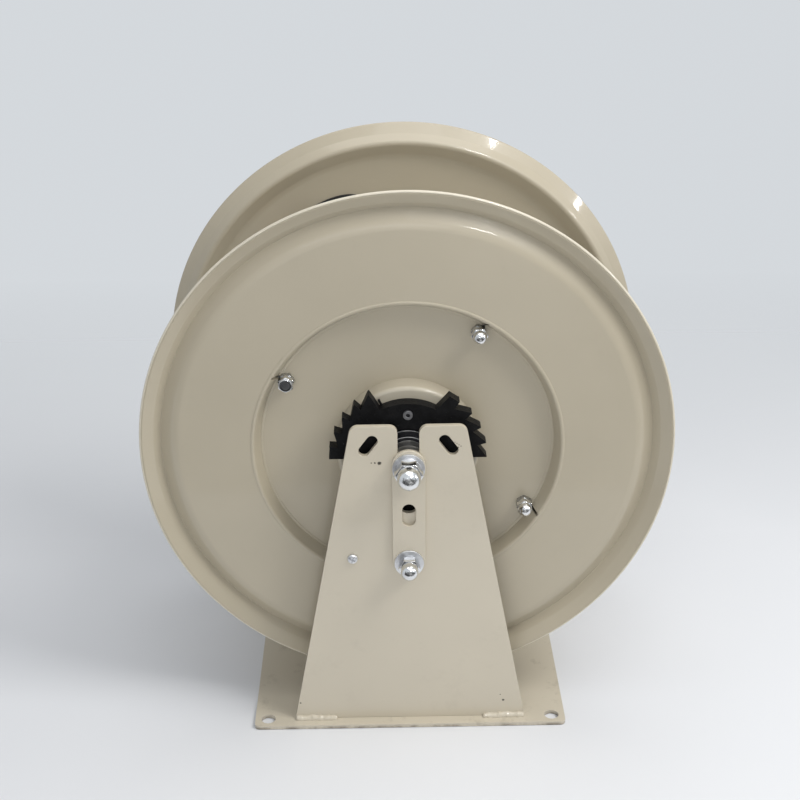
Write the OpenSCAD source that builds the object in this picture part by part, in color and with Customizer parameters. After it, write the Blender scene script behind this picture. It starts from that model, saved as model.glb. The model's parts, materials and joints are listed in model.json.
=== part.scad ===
// Fire hose reel with a spring rewind: a drum that turns on a fixed spindle between two welded brackets.
// X runs to the right, Y from the front to the back, Z up. The origin is the middle of the base's underside.
// All sizes are in millimetres and all angles run anticlockwise as seen from the front.

/* [Base and brackets] */
// Height of the spindle axis over the floor
axis_h = 272.5; // [258:0.5:300]
// Thickness of the base plate
base_t = 4; // [3:0.5:8]
// Base plate beyond each end of a bracket's foot
base_side = 38.5; // [30:0.5:60]
// Base plate beyond each bracket's outer face
base_lip = 11; // [10:0.5:30]
// Corner radius of the base plate
base_corner_r = 5; // [2:0.5:10]
// Radius of the anchor bolt holes
anchor_hole_r = 6.75; // [4:0.25:8]
// Anchor hole centre from the side edge of the base
anchor_inset_x = 12.5; // [11:0.5:20]
// Anchor hole centre from the front or rear edge of the base
anchor_inset_y = 11; // [10:0.5:14]
// Thickness of a bracket plate
bracket_t = 5; // [4:0.5:8]
// Width of a bracket at its foot
bracket_foot_w = 218; // [180:1:240]
// Width of a bracket at its top
bracket_top_w = 101; // [96:1:130]
// Height of a bracket over the spindle axis
bracket_rise = 39; // [36:0.5:50]
// Radius of a bracket's outer top corners
ear_r = 8; // [3:0.5:10]
// Radius of the corners where the open slot meets the top
ear_mouth_r = 7.5; // [3:0.5:9]
// Width of the front bracket's open slot
front_slot_w = 19; // [17:0.5:22]
// Width of the rear bracket's open slot
rear_slot_w = 28; // [26:0.5:29]
// Depth of both open slots below the spindle axis
slot_drop = 47; // [42:0.5:60]
// Width of the slanted slot in each ear
ear_slot_w = 10; // [6:0.1:11]
// Length of the slot in each ear
ear_slot_l = 21.8; // [12:0.1:23]
// Distance of the ear slots from the middle of the bracket
ear_slot_x = 35.2; // [33:0.1:36]
// Height of the ear slots over the spindle axis
ear_slot_z = 20.3; // [18:0.1:23]
// Leg of the weld beads at the brackets' feet
weld_leg = 5; // [3:0.5:6]
// Length of each weld bead
weld_l = 40; // [20:1:60]

/* [Flanges and drum] */
// Radius of both flanges
flange_r = 240; // [225:0.5:246]
// Width of the reel between the flanges' outer edges
reel_w = 237; // [230:1:320]
// Room between a flange's edge and the bracket beside it
side_room = 27; // [25:0.5:40]
// Thickness of the flange sheet
sheet_t = 2; // [1.5:0.1:2.5]
// Set-back of the flat annulus from the flange's edge
annulus_back = 5; // [3:0.5:7]
// Set-back of the dished middle from the flange's edge
dish_back = 18; // [16:0.5:19]
// Set-back of the stiffening bead from the flange's edge, before rounding
bead_back = 16; // [12:0.5:18]
// Width of the flared rim outside the bead
rim_w = 17.5; // [14:0.5:20]
// Width of the bead's inner wall
bead_wall_w = 14; // [12:0.5:18]
// Radius of the rolled hem at the flange's edge
hem_r = 1.6; // [1.3:0.1:2]
// Radius where the step meets the flat annulus
step_r = 139; // [138:0.5:141]
// Radial width of the step
step_w = 6; // [4:0.5:6.5]
// Wall of the drum tube
tube_t = 2; // [1.5:0.1:3]

/* [Tie rods] */
// Distance of the tie rods inside the top of the step
tie_inset = 14.5; // [14:0.1:16]
// Angle of the first tie rod
tie_a = 59.4; // [50:0.1:64]
// Radius of a tie rod
tie_r = 4; // [3:0.25:4.5]
// Radius of a tie rod's washer
tie_washer_r = 8; // [7.5:0.1:8.5]
// Thickness of a tie rod's washer
tie_washer_t = 1.6; // [1:0.1:2]
// Depth of the rod's end inside the lock nut
lock_recess = 0.6; // [0:0.1:1.5]
// Width of the relief slit outside each tie rod hole
tie_slit_w = 2.8; // [2:0.1:5]

/* [Spindle and hubs] */
// Radius of the spindle
shaft_r = 18; // [17.5:0.1:18.4]
// Radius of the front stud
stud_r = 7; // [5:0.5:7]
// Radius of the spindle's threaded rear end
inlet_r = 16.6; // [16:0.1:17]
// Radius of the tapped water inlet
inlet_bore_r = 12.05; // [11:0.05:12.5]
// Depth of the tapped water inlet
inlet_depth = 20; // [15:1:25]
// Radius of the water bore
water_r = 9; // [7:0.5:10]
// Radial running clearance on the spindle
run_gap = 0.05; // [0.02:0.01:0.1]
// Wall of the flanged bushes
bush_t = 3; // [2:0.25:4]
// Radius of the bushes' flanges
bush_flange_r = 26; // [25:0.5:27]
// Thickness of the bushes' flanges
bush_flange_t = 1.5; // [1:0.25:2]
// Radius of the hubs
hub_r = 63.5; // [60:0.5:64]
// Depth of the front hub in front of the dished flange
front_hub_l = 22; // [20:0.5:23]
// Thickness of the rear hub's outer disc
rear_hub_t = 8; // [6:0.5:8]
// Edge rounding of the hubs
hub_edge_r = 4; // [1:0.5:4.5]
// Radius of the hubs' spigots through the flanges
spigot_r = 30.8; // [29:0.1:32]
// Radius of the circle of hub screws
hub_screw_circle_r = 52; // [51.5:0.5:54]
// Radius of the front collar
collar_r = 22; // [21:0.5:25]
// Length of the front collar
collar_l = 4.5; // [4:0.5:6]

/* [Ratchet and pawl] */
// Tip radius of the ratchet teeth
tooth_tip_r = 70.5; // [69:0.1:71]
// Root radius of the ratchet teeth
tooth_root_r = 62.5; // [61.5:0.1:64]
// Radius of the ratchet's plain disc
crown_r = 53; // [51:0.5:55]
// Teeth on a full circle
tooth_count = 28; // [28:1:28]
// Teeth on each side of the plate
side_teeth = 5; // [3:1:5]
// Thickness of the ratchet plate
ratchet_t = 12; // [10:0.5:13]
// Distance of the ratchet screws from the spindle axis
ratchet_screw_r = 43; // [37:0.5:45]
// Pawl pivot to the left of the spindle axis
pawl_x = 51; // [50:0.5:52]
// Pawl pivot below the spindle axis
pawl_z = 92.5; // [92:0.5:94]
// Thickness of the pawl
pawl_t = 9; // [5:0.5:9.5]
// Angle from the lifted to the engaged pawl
pawl_lift = 12; // [8:0.5:16]

/* [Clamp strap] */
// Width of the strap
strap_w = 29.5; // [26:0.5:36]
// Thickness of the strap
strap_t = 4; // [3:0.5:6]
// Strap end over the spindle axis
strap_rise = 17; // [15:0.5:20]
// Strap bolt below the spindle axis
strap_bolt_drop = 95.7; // [85:0.1:105]
// Strap slot's centre below the spindle axis
strap_slot_drop = 47; // [42:0.5:55]
// Width of the strap slot
strap_slot_w = 11.8; // [8:0.1:14]
// Length of the strap slot
strap_slot_l = 22; // [16:0.5:30]

/* [Rewind spring] */
// Room between the spring case's lip and the tie rods
case_gap = 6.5; // [5:0.5:12]
// Wall of the spring case
case_t = 2; // [1.5:0.1:2.5]
// Width of the spring strip
strip_w = 40; // [30:1:45]
// Thickness of the spring strip
strip_t = 1.2; // [0.8:0.1:1.6]
// Turns of the spring at rest
strip_turns = 8; // [6:1:9]
// Radius of the spring arbor
arbor_r = 29; // [27:0.5:30]
// Thickness of the spring case's cover
cover_t = 3; // [2:0.5:4]

/* [Water path] */
// Radius of the swivel housing
swivel_r = 32; // [29:0.5:34]
// Outer radius of the riser pipe
riser_r = 11; // [9.5:0.5:11]
// Wall of the riser pipe
riser_t = 2; // [1.5:0.1:2.5]
// Angle of the hose opening
feed_a = 114.8; // [108:0.1:120]
// Radial width of the hose opening
feed_w = 37; // [34:0.5:42]
// Length of the hose opening round the drum
feed_l = 46; // [42:0.5:60]
// Outer radius of the hose stem
stem_r = 9.6; // [8.5:0.1:10.5]
// Bore radius of the hose stem
stem_bore_r = 7.5; // [6:0.1:8]
// Plain length of the hose stem
stem_l = 30; // [24:1:40]

/* [Hidden] */
$fn = 96;

paint = [0.72, 0.69, 0.60];
zinc = [0.78, 0.79, 0.80];
steel = [0.45, 0.46, 0.48];
black = [0.10, 0.10, 0.11];
brass = [0.80, 0.62, 0.30];

// Distances from the middle of the drum along Y, the same to the front and to the back
rim_y = reel_w / 2;
annulus_y = rim_y - annulus_back;
dish_y = rim_y - dish_back;
dish_in_y = dish_y - sheet_t;
bracket_in_y = rim_y + side_room;
bracket_out_y = bracket_in_y + bracket_t;
base_w = bracket_foot_w + 2 * base_side;
base_d = 2 * (bracket_out_y + base_lip);
ear_slot_tilt = 36;

// Drum
tube_fit = 0.3;
tube_in_r = step_r + sheet_t + tube_fit;
tube_out_r = tube_in_r + tube_t;
bead_corner_r = flange_r - rim_w;
annulus_r = bead_corner_r - bead_wall_w;
hub_hole_r = spigot_r + 0.2;
tie_circle_r = step_r - tie_inset;
step_in_r = max(step_r - step_w, tie_circle_r + tie_washer_r + 0.5);
front_screw_a = 45;
rear_screw_a = feed_a + 45;
tie_count = 4;
lock_nut_index = 1;
tie_nut_af = 13;
tie_nut_hex = 6.5;
tie_nut_h = 15;
tie_dome_r = 6.2;
tie_lock_h = 8;
tie_lock_collar_r = 6.1;
tie_hole_r = tie_r + 0.5;
tie_slit_out_r = tube_in_r - sheet_t - 1;

// Front hub, bush and collar
hub_face_y = dish_y + front_hub_l;
nose_y = hub_face_y + 8;
nose_r = 24;
ratchet_y = hub_face_y + ratchet_t;
bush_r = shaft_r + run_gap + bush_t;
bush_end_y = nose_y + bush_flange_t;
collar_y = bush_end_y + 0.3;
collar_end_y = collar_y + collar_l;
set_screw_r = 2.5;

// Rewind spring, counted from the front flange's inner face
cover_y = dish_in_y - cover_t;
front_spigot_y = cover_y - 2;
arbor_y = front_spigot_y - 1.5;
strip_y = arbor_y - 2;
strip_end_y = strip_y - strip_w;
case_floor_y = strip_end_y - 3;
case_lip_r = tie_circle_r - tie_r - case_gap;
case_r = case_lip_r - 12;
case_screw_circle_r = case_r + 6;
case_hole_r = spigot_r + 0.2;
pin_r = 2.9;
pin_circle_r = case_r - case_t - 4.5;
key_w = 6;
key_h = 6;
key_l = 30;
key_seat = 3.5;
arbor_collar_r = 26;
arbor_collar_l = 9;

// Rear hub and swivel, counted outwards from the rear flange
rear_disc_y = dish_y + rear_hub_t;
rear_barrel_y = 74;
hub_ring_t = 6;
swivel_flange_r = 46;
swivel_flange_t = 5;
swivel_screw_circle_r = 39.5;
swivel_y = dish_y + 26.5;
swivel_end_y = bracket_in_y - 4.5;
seal_w = 3.6;
seal_depth = 3;
seal_y = [rear_disc_y + bush_flange_t + 4.8, swivel_end_y - 3.8];
groove_r = shaft_r + 5;
port_r = 6;
groove_w = 2 * port_r + 1;
circlip_y = swivel_end_y + 1.4;
circlip_t = 1.5;
circlip_groove_r = shaft_r - 1.2;
rear_nut_y = bracket_out_y + 3;
rear_nut_h = 8;
rear_nut_af = 46;
rear_washer_r = 25;
shaft_end_y = rear_nut_y + rear_nut_h + 8.5;
slot_gap = 0.1;

// Riser, counted outwards along the radius through the hose opening
grommet_lip = 3;
feed_r = tube_out_r + grommet_lip + 0.5 + feed_w / 2;
port_boss_r = 13;
port_stub_r = 12;
port_boss_end = 46;
port_stub_end = port_boss_end + 8;
union_af = 30;
union_l = 16;
bend_r = 15;
elbow_r = 22;
riser_y = swivel_y - bend_r;
stem_hex_l = 8;

// Strap, nuts and washers at the front
strap_y = bracket_out_y + strap_t;
shaft_washer_r = 14.4;
shaft_washer_t = 2.5;
shaft_spring_washer_t = 3;
shaft_nut_y = strap_y + shaft_washer_t + shaft_spring_washer_t;
shaft_nut_af = 3 * stud_r + 1;
shaft_nut_l = 25;
strap_washer_r = 13.3;
strap_washer_t = 2;
strap_spring_washer_t = 2.2;
strap_nut_y = strap_y + strap_washer_t + strap_spring_washer_t;
strap_nut_af = 17;
strap_nut_l = 20;
strap_bolt_r = 5;

// Ratchet and pawl
tooth_pitch = 360 / tooth_count;
right_tip_a = -1.5;
left_tip_a = 118.8;
land_a = 8.5;
stub_a = 115.8;
plate_bottom = 0;
notch_r = nose_r + 0.2;
bush_room_r = bush_flange_r + 2.5;
ratchet_screw_a = [90, 210, 330];
ratchet_screw_hole_r = 2.5;
pawl_y = hub_face_y + 0.5;
pawl_end_y = pawl_y + pawl_t;
pawl_eye_r = 9;
sleeve_r = 5;
sleeve_end_y = hub_face_y + 0.2;
pawl_screw_r = 2.5;
wire_r = 0.8;
coil_r = sleeve_r + 0.3 + wire_r;
coil_turns = 5;
pawl_tip_r = 65;
pawl_tip_a = 258.8;
pawl_face = 6.8;
leg_pin = [14, -19];
tail_end = [-14, 2];
under_a = [14, -4];
under_b = [2, -7];

// Corner rounding of a path of [x, y, radius] points, with the ends left sharp
function unit(v) = v / norm(v);
function turned_by(v, a) = [v[0] * cos(a) - v[1] * sin(a), v[0] * sin(a) + v[1] * cos(a)];
function flat(p) = [p[0], p[1]];
function corner(a, b, c, r, steps) = let(
    u = unit(a - b), w = unit(c - b), half = acos(u * w) / 2,
    centre = b + unit(u + w) * r / sin(half), start = b + u * r / tan(half) - centre,
    side = sign(u[0] * w[1] - u[1] * w[0])
) [for (k = [0:steps]) centre + turned_by(start, -side * (180 - 2 * half) * k / steps)];
function rounded(path, steps = 6) = [
    flat(path[0]),
    for (i = [1:len(path) - 2])
        each path[i][2] == 0 ? [flat(path[i])]
            : corner(flat(path[i - 1]), flat(path[i]), flat(path[i + 1]), path[i][2], steps),
    flat(path[len(path) - 1])
];
// Closed outline of a sheet of thickness t on the left of a path
function side_step(path, i, t) = let(
    d = unit(path[min(i + 1, len(path) - 1)] - path[max(i - 1, 0)])
) path[i] + t * [-d[1], d[0]];
function sheet(path, t) = concat(path, [for (i = [len(path) - 1:-1:0]) side_step(path, i, t)]);
function polar(r, a) = [r * cos(a), r * sin(a)];

// Placing: everything that turns or carries the drum is drawn round the spindle axis
module on_axis() translate([0, 0, axis_h]) children();
module to_front() mirror([0, 1, 0]) children();
module at(r, a) rotate([0, -a, 0]) translate([r, 0, 0]) children();
module ring_of(n, r, a) for (i = [0:n - 1]) at(r, a + i * 360 / n) children();

// Shapes along Y: a rod, a washer, a turned profile of [radius, y] points and a plate cut to an X-Z outline
module rod(r, y0, y1) translate([0, y0, 0]) rotate([-90, 0, 0]) cylinder(r = r, h = y1 - y0);
module washer(outer_r, inner_r, y0, y1) difference() {
    rod(outer_r, y0, y1);
    rod(inner_r, y0 - 1, y1 + 1);
}
module turned(profile) rotate([-90, 0, 0]) rotate_extrude() polygon(profile);
module plate(y0, y1) translate([0, y1, 0]) rotate([90, 0, 0]) linear_extrude(y1 - y0) children();
module obround(l, w) union() {
    square([l - w, w], center = true);
    for (s = [-1, 1]) translate([s * (l - w) / 2, 0]) circle(w / 2);
}

// Fasteners point along +Y, with their seat at y = 0
module hex_block(af, h) {
    corner_r = af / 2 / cos(30);
    chamfer = corner_r - af / 2;
    intersection() {
        rotate([-90, 0, 0]) cylinder(r = corner_r, h = h, $fn = 6);
        turned([[0, 0], [corner_r, 0], [corner_r, h - chamfer * 0.6], [af / 2, h], [0, h]]);
    }
}
module dome_nut(af, hex_h, height, dome_r, hole_r) difference() {
    union() {
        hex_block(af, hex_h);
        rod(dome_r, hex_h / 2, height - dome_r);
        translate([0, height - dome_r, 0]) sphere(dome_r);
    }
    rod(hole_r, -1, height - dome_r);
}
module hex_nut(af, h, hole_r) difference() {
    hex_block(af, h);
    rod(hole_r, -1, h + 1);
}
module cap_screw(r, l, head_r, head_h, drive_r) difference() {
    union() {
        rod(r, -l, 0);
        rod(head_r, 0, head_h);
    }
    translate([0, head_h / 2, 0]) rotate([-90, 0, 0]) cylinder(r = drive_r, h = head_h, $fn = 6);
}
module pan_screw(r, l, head_r, head_h, slot_w) difference() {
    union() {
        rod(r, -l, 0);
        turned(concat([[0, 0]], rounded([[head_r, 0, 0], [head_r, head_h, head_h * 0.7], [0, head_h, 0]])));
    }
    for (a = [0, 90]) rotate([0, a + 20, 0]) translate([-head_r * 0.55, head_h * 0.4, -slot_w / 2])
        cube([head_r * 1.1, head_h, slot_w]);
}

// Base and brackets
module base_outline() union() {
    square([base_w - 2 * base_corner_r, base_d], center = true);
    square([base_w, base_d - 2 * base_corner_r], center = true);
    for (x = [-1, 1], y = [-1, 1])
        translate([x * (base_w / 2 - base_corner_r), y * (base_d / 2 - base_corner_r)]) circle(base_corner_r);
}
module base_plate() color(paint) difference() {
    linear_extrude(base_t) base_outline();
    for (x = [-1, 1], y = [-1, 1])
        translate([x * (base_w / 2 - anchor_inset_x), y * (base_d / 2 - anchor_inset_y), -1])
            cylinder(r = anchor_hole_r, h = base_t + 2);
}

// Outline of a bracket in X and Z round the spindle axis, with its slot and its ear slots
module bracket_outline(slot_w) {
    foot = base_t - axis_h;
    half = [[bracket_foot_w / 2, foot, 0], [bracket_top_w / 2, bracket_rise, ear_r], [0, bracket_rise, 0]];
    right = rounded(half, 10);
    left = [for (i = [len(right) - 2:-1:0]) [-right[i][0], right[i][1]]];
    wall = slot_w / 2;
    mouth = concat([[wall - 1, bracket_rise - ear_mouth_r]],
        corner([wall, 0], [wall, bracket_rise], [wall + ear_r, bracket_rise], ear_mouth_r, 10),
        [[wall + ear_mouth_r, bracket_rise + 1], [wall - 1, bracket_rise + 1]]);
    difference() {
        polygon(concat(right, left));
        for (s = [-1, 1]) polygon([for (p = mouth) [s * p[0], p[1]]]);
        translate([0, slot_w / 2 - slot_drop]) circle(slot_w / 2);
        translate([-slot_w / 2, slot_w / 2 - slot_drop]) square([slot_w, slot_drop + bracket_rise]);
        for (s = [-1, 1]) translate([s * ear_slot_x, ear_slot_z]) rotate(90 + s * ear_slot_tilt)
            obround(ear_slot_l, ear_slot_w);
    }
}
module front_bracket() color(paint) on_axis() to_front() difference() {
    plate(bracket_in_y, bracket_out_y) bracket_outline(front_slot_w);
    translate([0, 0, -strap_bolt_drop]) rod(strap_bolt_r + 0.3, bracket_in_y - 1, bracket_out_y + 1);
    translate([-pawl_x, 0, -pawl_z]) rod(pawl_screw_r, bracket_in_y - 1, bracket_out_y + 1);
}
module rear_bracket() color(paint) on_axis() plate(bracket_in_y, bracket_out_y) bracket_outline(rear_slot_w);
module bracket_welds() color(paint) for (side = [0, 180], x = [-1, 1], face = [-1, 1]) rotate([0, 0, side])
    translate([x * (bracket_foot_w - weld_l) / 2, bracket_in_y + (face + 1) * bracket_t / 2, base_t])
        rotate([90, 0, 90]) linear_extrude(weld_l, center = true) intersection() {
            circle(weld_leg);
            translate([face < 0 ? -weld_leg : 0, 0]) square(weld_leg);
        }

// Spindle: stud and flats in the front slot, water bore and flats in the rear slot
module main_shaft() color(steel) on_axis() difference() {
    union() {
        rod(shaft_r, -bracket_in_y, bracket_in_y);
        intersection() {
            rod(shaft_r - 1, -bracket_out_y + 0.2, -bracket_in_y + 1);
            translate([slot_gap - front_slot_w / 2, -bracket_out_y - 1, -shaft_r])
                cube([front_slot_w - 2 * slot_gap, bracket_t + 3, 2 * shaft_r]);
        }
        rod(stud_r, -shaft_nut_y - 13.5, -bracket_in_y + 1);
        intersection() {
            rod(inlet_r, bracket_in_y - 1, bracket_out_y);
            translate([slot_gap - rear_slot_w / 2, bracket_in_y - 2, -shaft_r])
                cube([rear_slot_w - 2 * slot_gap, bracket_t + 3, 2 * shaft_r]);
        }
        rod(inlet_r, bracket_out_y, shaft_end_y);
    }
    rod(inlet_bore_r, shaft_end_y - inlet_depth, shaft_end_y + 1);
    rod(water_r, swivel_y - water_r, shaft_end_y);
    for (a = [0, 90]) rotate([0, a + feed_a, 0]) translate([0, swivel_y, 0])
        cylinder(r = port_r, h = 4 * shaft_r, center = true);
    washer(shaft_r + 1, circlip_groove_r, circlip_y - 0.1, circlip_y + circlip_t + 0.1);
    translate([-key_w / 2, -arbor_y + 6, shaft_r - key_seat]) cube([key_w, key_l, key_h]);
}
module front_collar() color(black) on_axis() to_front() difference() {
    washer(collar_r, shaft_r, collar_y, collar_end_y);
    at(0, 270) translate([shaft_r - 1, (collar_y + collar_end_y) / 2, 0]) rotate([0, 90, 0])
        cylinder(r = set_screw_r - 0.5, h = 10);
}
module collar_set_screw() color(black) on_axis() at(0, 270)
    translate([shaft_r, -(collar_y + collar_end_y) / 2, 0]) rotate([0, 90, 0])
        cylinder(r = set_screw_r - 0.5, h = collar_r - shaft_r - 0.5);
module rear_washer() color(zinc) on_axis() washer(rear_washer_r, inlet_r, bracket_out_y, rear_nut_y);
module rear_lock_nut() color(zinc) on_axis() translate([0, rear_nut_y, 0])
    hex_nut(rear_nut_af, rear_nut_h, inlet_r);

// Clamp strap that holds the spindle down in the front slot
module clamp_strap() color(paint) on_axis() to_front() difference() {
    plate(bracket_out_y, strap_y) difference() {
        translate([0, (strap_rise - strap_bolt_drop - strap_w / 2 + 2) / 2]) rotate(90)
            obround(strap_rise + strap_bolt_drop + strap_w / 2 - 2, strap_w);
        translate([0, -strap_slot_drop]) rotate(90) obround(strap_slot_l, strap_slot_w);
    }
    rod(stud_r + 0.3, bracket_out_y - 1, strap_y + 1);
    translate([0, 0, -strap_bolt_drop]) rod(strap_bolt_r + 0.3, bracket_out_y - 1, strap_y + 1);
}
module split_washer(outer_r, inner_r, y0, y1) difference() {
    washer(outer_r, inner_r, y0, y1);
    rotate([0, 35, 0]) translate([0, y0 - 1, -0.6]) cube([outer_r + 1, y1 - y0 + 2, 1.2]);
}
module shaft_washer() color(zinc) on_axis() to_front()
    washer(shaft_washer_r, stud_r + 0.3, strap_y, strap_y + shaft_washer_t);
module shaft_spring_washer() color(zinc) on_axis() to_front()
    split_washer(stud_r + 4.5, stud_r + 0.2, strap_y + shaft_washer_t, shaft_nut_y);
module shaft_dome_nut() color(zinc) on_axis() to_front() translate([0, shaft_nut_y, 0])
    dome_nut(shaft_nut_af, 11, shaft_nut_l, shaft_nut_af / 2 - 0.6, stud_r);
module at_strap_bolt() on_axis() to_front() translate([0, 0, -strap_bolt_drop]) children();
module strap_bolt() color(zinc) at_strap_bolt() union() {
    translate([0, bracket_in_y, 0]) mirror([0, 1, 0]) hex_block(strap_nut_af, 6.4);
    rod(strap_bolt_r, bracket_in_y, strap_nut_y + 10);
}
module strap_washer() color(zinc) at_strap_bolt()
    washer(strap_washer_r, strap_bolt_r + 0.3, strap_y, strap_y + strap_washer_t);
module strap_spring_washer() color(zinc) at_strap_bolt()
    split_washer(strap_bolt_r + 3.2, strap_bolt_r + 0.2, strap_y + strap_washer_t, strap_nut_y);
module strap_dome_nut() color(zinc) at_strap_bolt() translate([0, strap_nut_y, 0])
    dome_nut(strap_nut_af, 8, strap_nut_l, strap_nut_af / 2 - 0.6, strap_bolt_r);

// Flanges: one pressed sheet with a dished middle, a stiffening bead and a hemmed rim
flange_path = rounded([
    [hub_hole_r, -dish_y, 0], [step_in_r, -dish_y, 0.7], [step_r, -annulus_y, 2.5],
    [annulus_r, -annulus_y, 9], [bead_corner_r, bead_back - rim_y, 6], [flange_r - hem_r, -rim_y + hem_r, 0]
]);
module flange_sheet() difference() {
    rotate([-90, 0, 0]) rotate_extrude() union() {
        polygon(sheet(flange_path, sheet_t));
        translate([flange_r - hem_r, -rim_y + hem_r]) circle(hem_r, $fn = 32);
    }
    ring_of(tie_count, 0, tie_a) {
        translate([tie_circle_r, 0, 0]) rod(tie_hole_r, -rim_y, -dish_in_y + 4);
        translate([tie_circle_r, -rim_y, -tie_slit_w / 2])
            cube([tie_slit_out_r - tie_circle_r, rim_y - dish_in_y + 4, tie_slit_w]);
    }
}
module front_flange() color(paint) on_axis() difference() {
    flange_sheet();
    ring_of(4, hub_screw_circle_r, front_screw_a) rod(3, -rim_y, 0);
}
module feed_outline(grow) translate([feed_r, 0]) rotate(90) obround(feed_l + 2 * grow, feed_w + 2 * grow);
module rear_flange() color(paint) on_axis() difference() {
    to_front() flange_sheet();
    ring_of(4, hub_screw_circle_r, rear_screw_a) rod(3, 0, rim_y);
    at(0, feed_a) plate(rim_y - bead_back, rim_y) feed_outline(0);
}
module feed_grommet() color(black) on_axis() at(0, feed_a) difference() {
    plate(annulus_y - sheet_t - 2, annulus_y + 2) feed_outline(grommet_lip);
    plate(annulus_y - sheet_t, annulus_y) difference() {
        feed_outline(grommet_lip + 5);
        feed_outline(0);
    }
    translate([feed_r - 1.1, 0, 0]) rod(riser_r + 1.4, annulus_y - sheet_t - 3, annulus_y + 3);
}
module drum_tube() color(paint) on_axis()
    washer(tube_out_r, tube_in_r, sheet_t - annulus_y, annulus_y - sheet_t);

// Tie rods clamp both flanges on the drum tube
tie_nut_y = dish_y + tie_washer_t;
tie_seat_y = tie_nut_y + tie_nut_hex;
tie_end_y = tie_seat_y + tie_nut_h - tie_dome_r;
module at_tie(i) on_axis() at(tie_circle_r, tie_a + i * 360 / tie_count) children();
module tie_rods() color(zinc) for (i = [0:tie_count - 1]) at_tie(i)
    rod(tie_r, i == lock_nut_index ? lock_recess - tie_seat_y - tie_lock_h : -tie_end_y, tie_end_y);
module tie_washers() color(zinc) on_axis() ring_of(tie_count, tie_circle_r, tie_a) for (s = [0, 1])
    mirror([0, s, 0]) washer(tie_washer_r, tie_r, dish_y, tie_nut_y);
module tie_nuts() color(zinc) for (i = [0:tie_count - 1], s = [0, 1]) at_tie(i) mirror([0, s, 0])
    translate([0, tie_nut_y, 0]) rotate([0, 17 * i + 11, 0]) hex_nut(tie_nut_af, tie_nut_hex, tie_r);
module tie_dome_nuts() color(zinc) for (i = [0:tie_count - 1], s = [0, 1])
    if (s == 0 || i != lock_nut_index) at_tie(i) mirror([0, s, 0])
        translate([0, tie_seat_y, 0]) rotate([0, 17 * i, 0])
            dome_nut(tie_nut_af, tie_nut_hex, tie_nut_h, tie_dome_r, tie_r);
module lock_nut(af, hex_h, h, collar_r, hole_r) difference() {
    union() {
        hex_block(af, hex_h);
        rod(collar_r, 1, h);
    }
    rod(hole_r, -1, h + 1);
}
module tie_lock_nut() color(zinc) at_tie(lock_nut_index) to_front() translate([0, tie_seat_y, 0])
    lock_nut(tie_nut_af, tie_nut_hex, tie_lock_h, tie_lock_collar_r, tie_r);

// Hubs and bushes
module front_hub() color(paint) on_axis() to_front() difference() {
    turned(concat(
        [[bush_r, front_spigot_y], [spigot_r, front_spigot_y], [spigot_r, dish_y]],
        rounded([[hub_r, dish_y, 0], [hub_r, hub_face_y, hub_edge_r], [nose_r, hub_face_y, 0]]),
        [[nose_r, nose_y], [bush_r, nose_y]]
    ));
    ring_of(4, hub_screw_circle_r, front_screw_a) rod(3, dish_y - 1, dish_y + 11);
    for (a = ratchet_screw_a) at(ratchet_screw_r, a)
        rod(ratchet_screw_hole_r, hub_face_y - 11, hub_face_y + 1);
}
module bush(y0, y1) turned([
    [shaft_r + run_gap, y0], [bush_r, y0], [bush_r, y1], [bush_flange_r, y1],
    [bush_flange_r, y1 + bush_flange_t], [shaft_r + run_gap, y1 + bush_flange_t]
]);
module front_bush() color(black) on_axis() to_front() bush(front_spigot_y, nose_y);
module rear_hub() color(paint) on_axis() difference() {
    turned(concat(
        [[bush_r, rear_barrel_y], [spigot_r, rear_barrel_y], [spigot_r, dish_y]],
        rounded([[hub_r, dish_y, 0], [hub_r, rear_disc_y, 2], [bush_r, rear_disc_y, 0]])
    ));
    ring_of(4, hub_screw_circle_r, rear_screw_a) rod(3, dish_y - 1, rear_disc_y + 1);
    ring_of(4, swivel_screw_circle_r, rear_screw_a) rod(3, dish_y + 1, rear_disc_y + 1);
}
module rear_hub_ring() color(steel) on_axis() difference() {
    washer(hub_r, spigot_r, dish_in_y - hub_ring_t, dish_in_y);
    ring_of(4, hub_screw_circle_r, rear_screw_a) rod(3, dish_in_y - hub_ring_t - 1, dish_in_y + 1);
}
module rear_bush() color(brass) on_axis() bush(rear_barrel_y, rear_disc_y);
module front_hub_screws() color(black) on_axis() ring_of(4, hub_screw_circle_r, front_screw_a)
    translate([0, -cover_y, 0]) cap_screw(3, cover_t + sheet_t + 10, 5.25, 3.3, 2);
module rear_hub_screws() color(black) on_axis() ring_of(4, hub_screw_circle_r, rear_screw_a)
    translate([0, rear_disc_y, 0]) cap_screw(3, rear_hub_t + sheet_t + hub_ring_t, 5.25, 3.3, 2);

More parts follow.
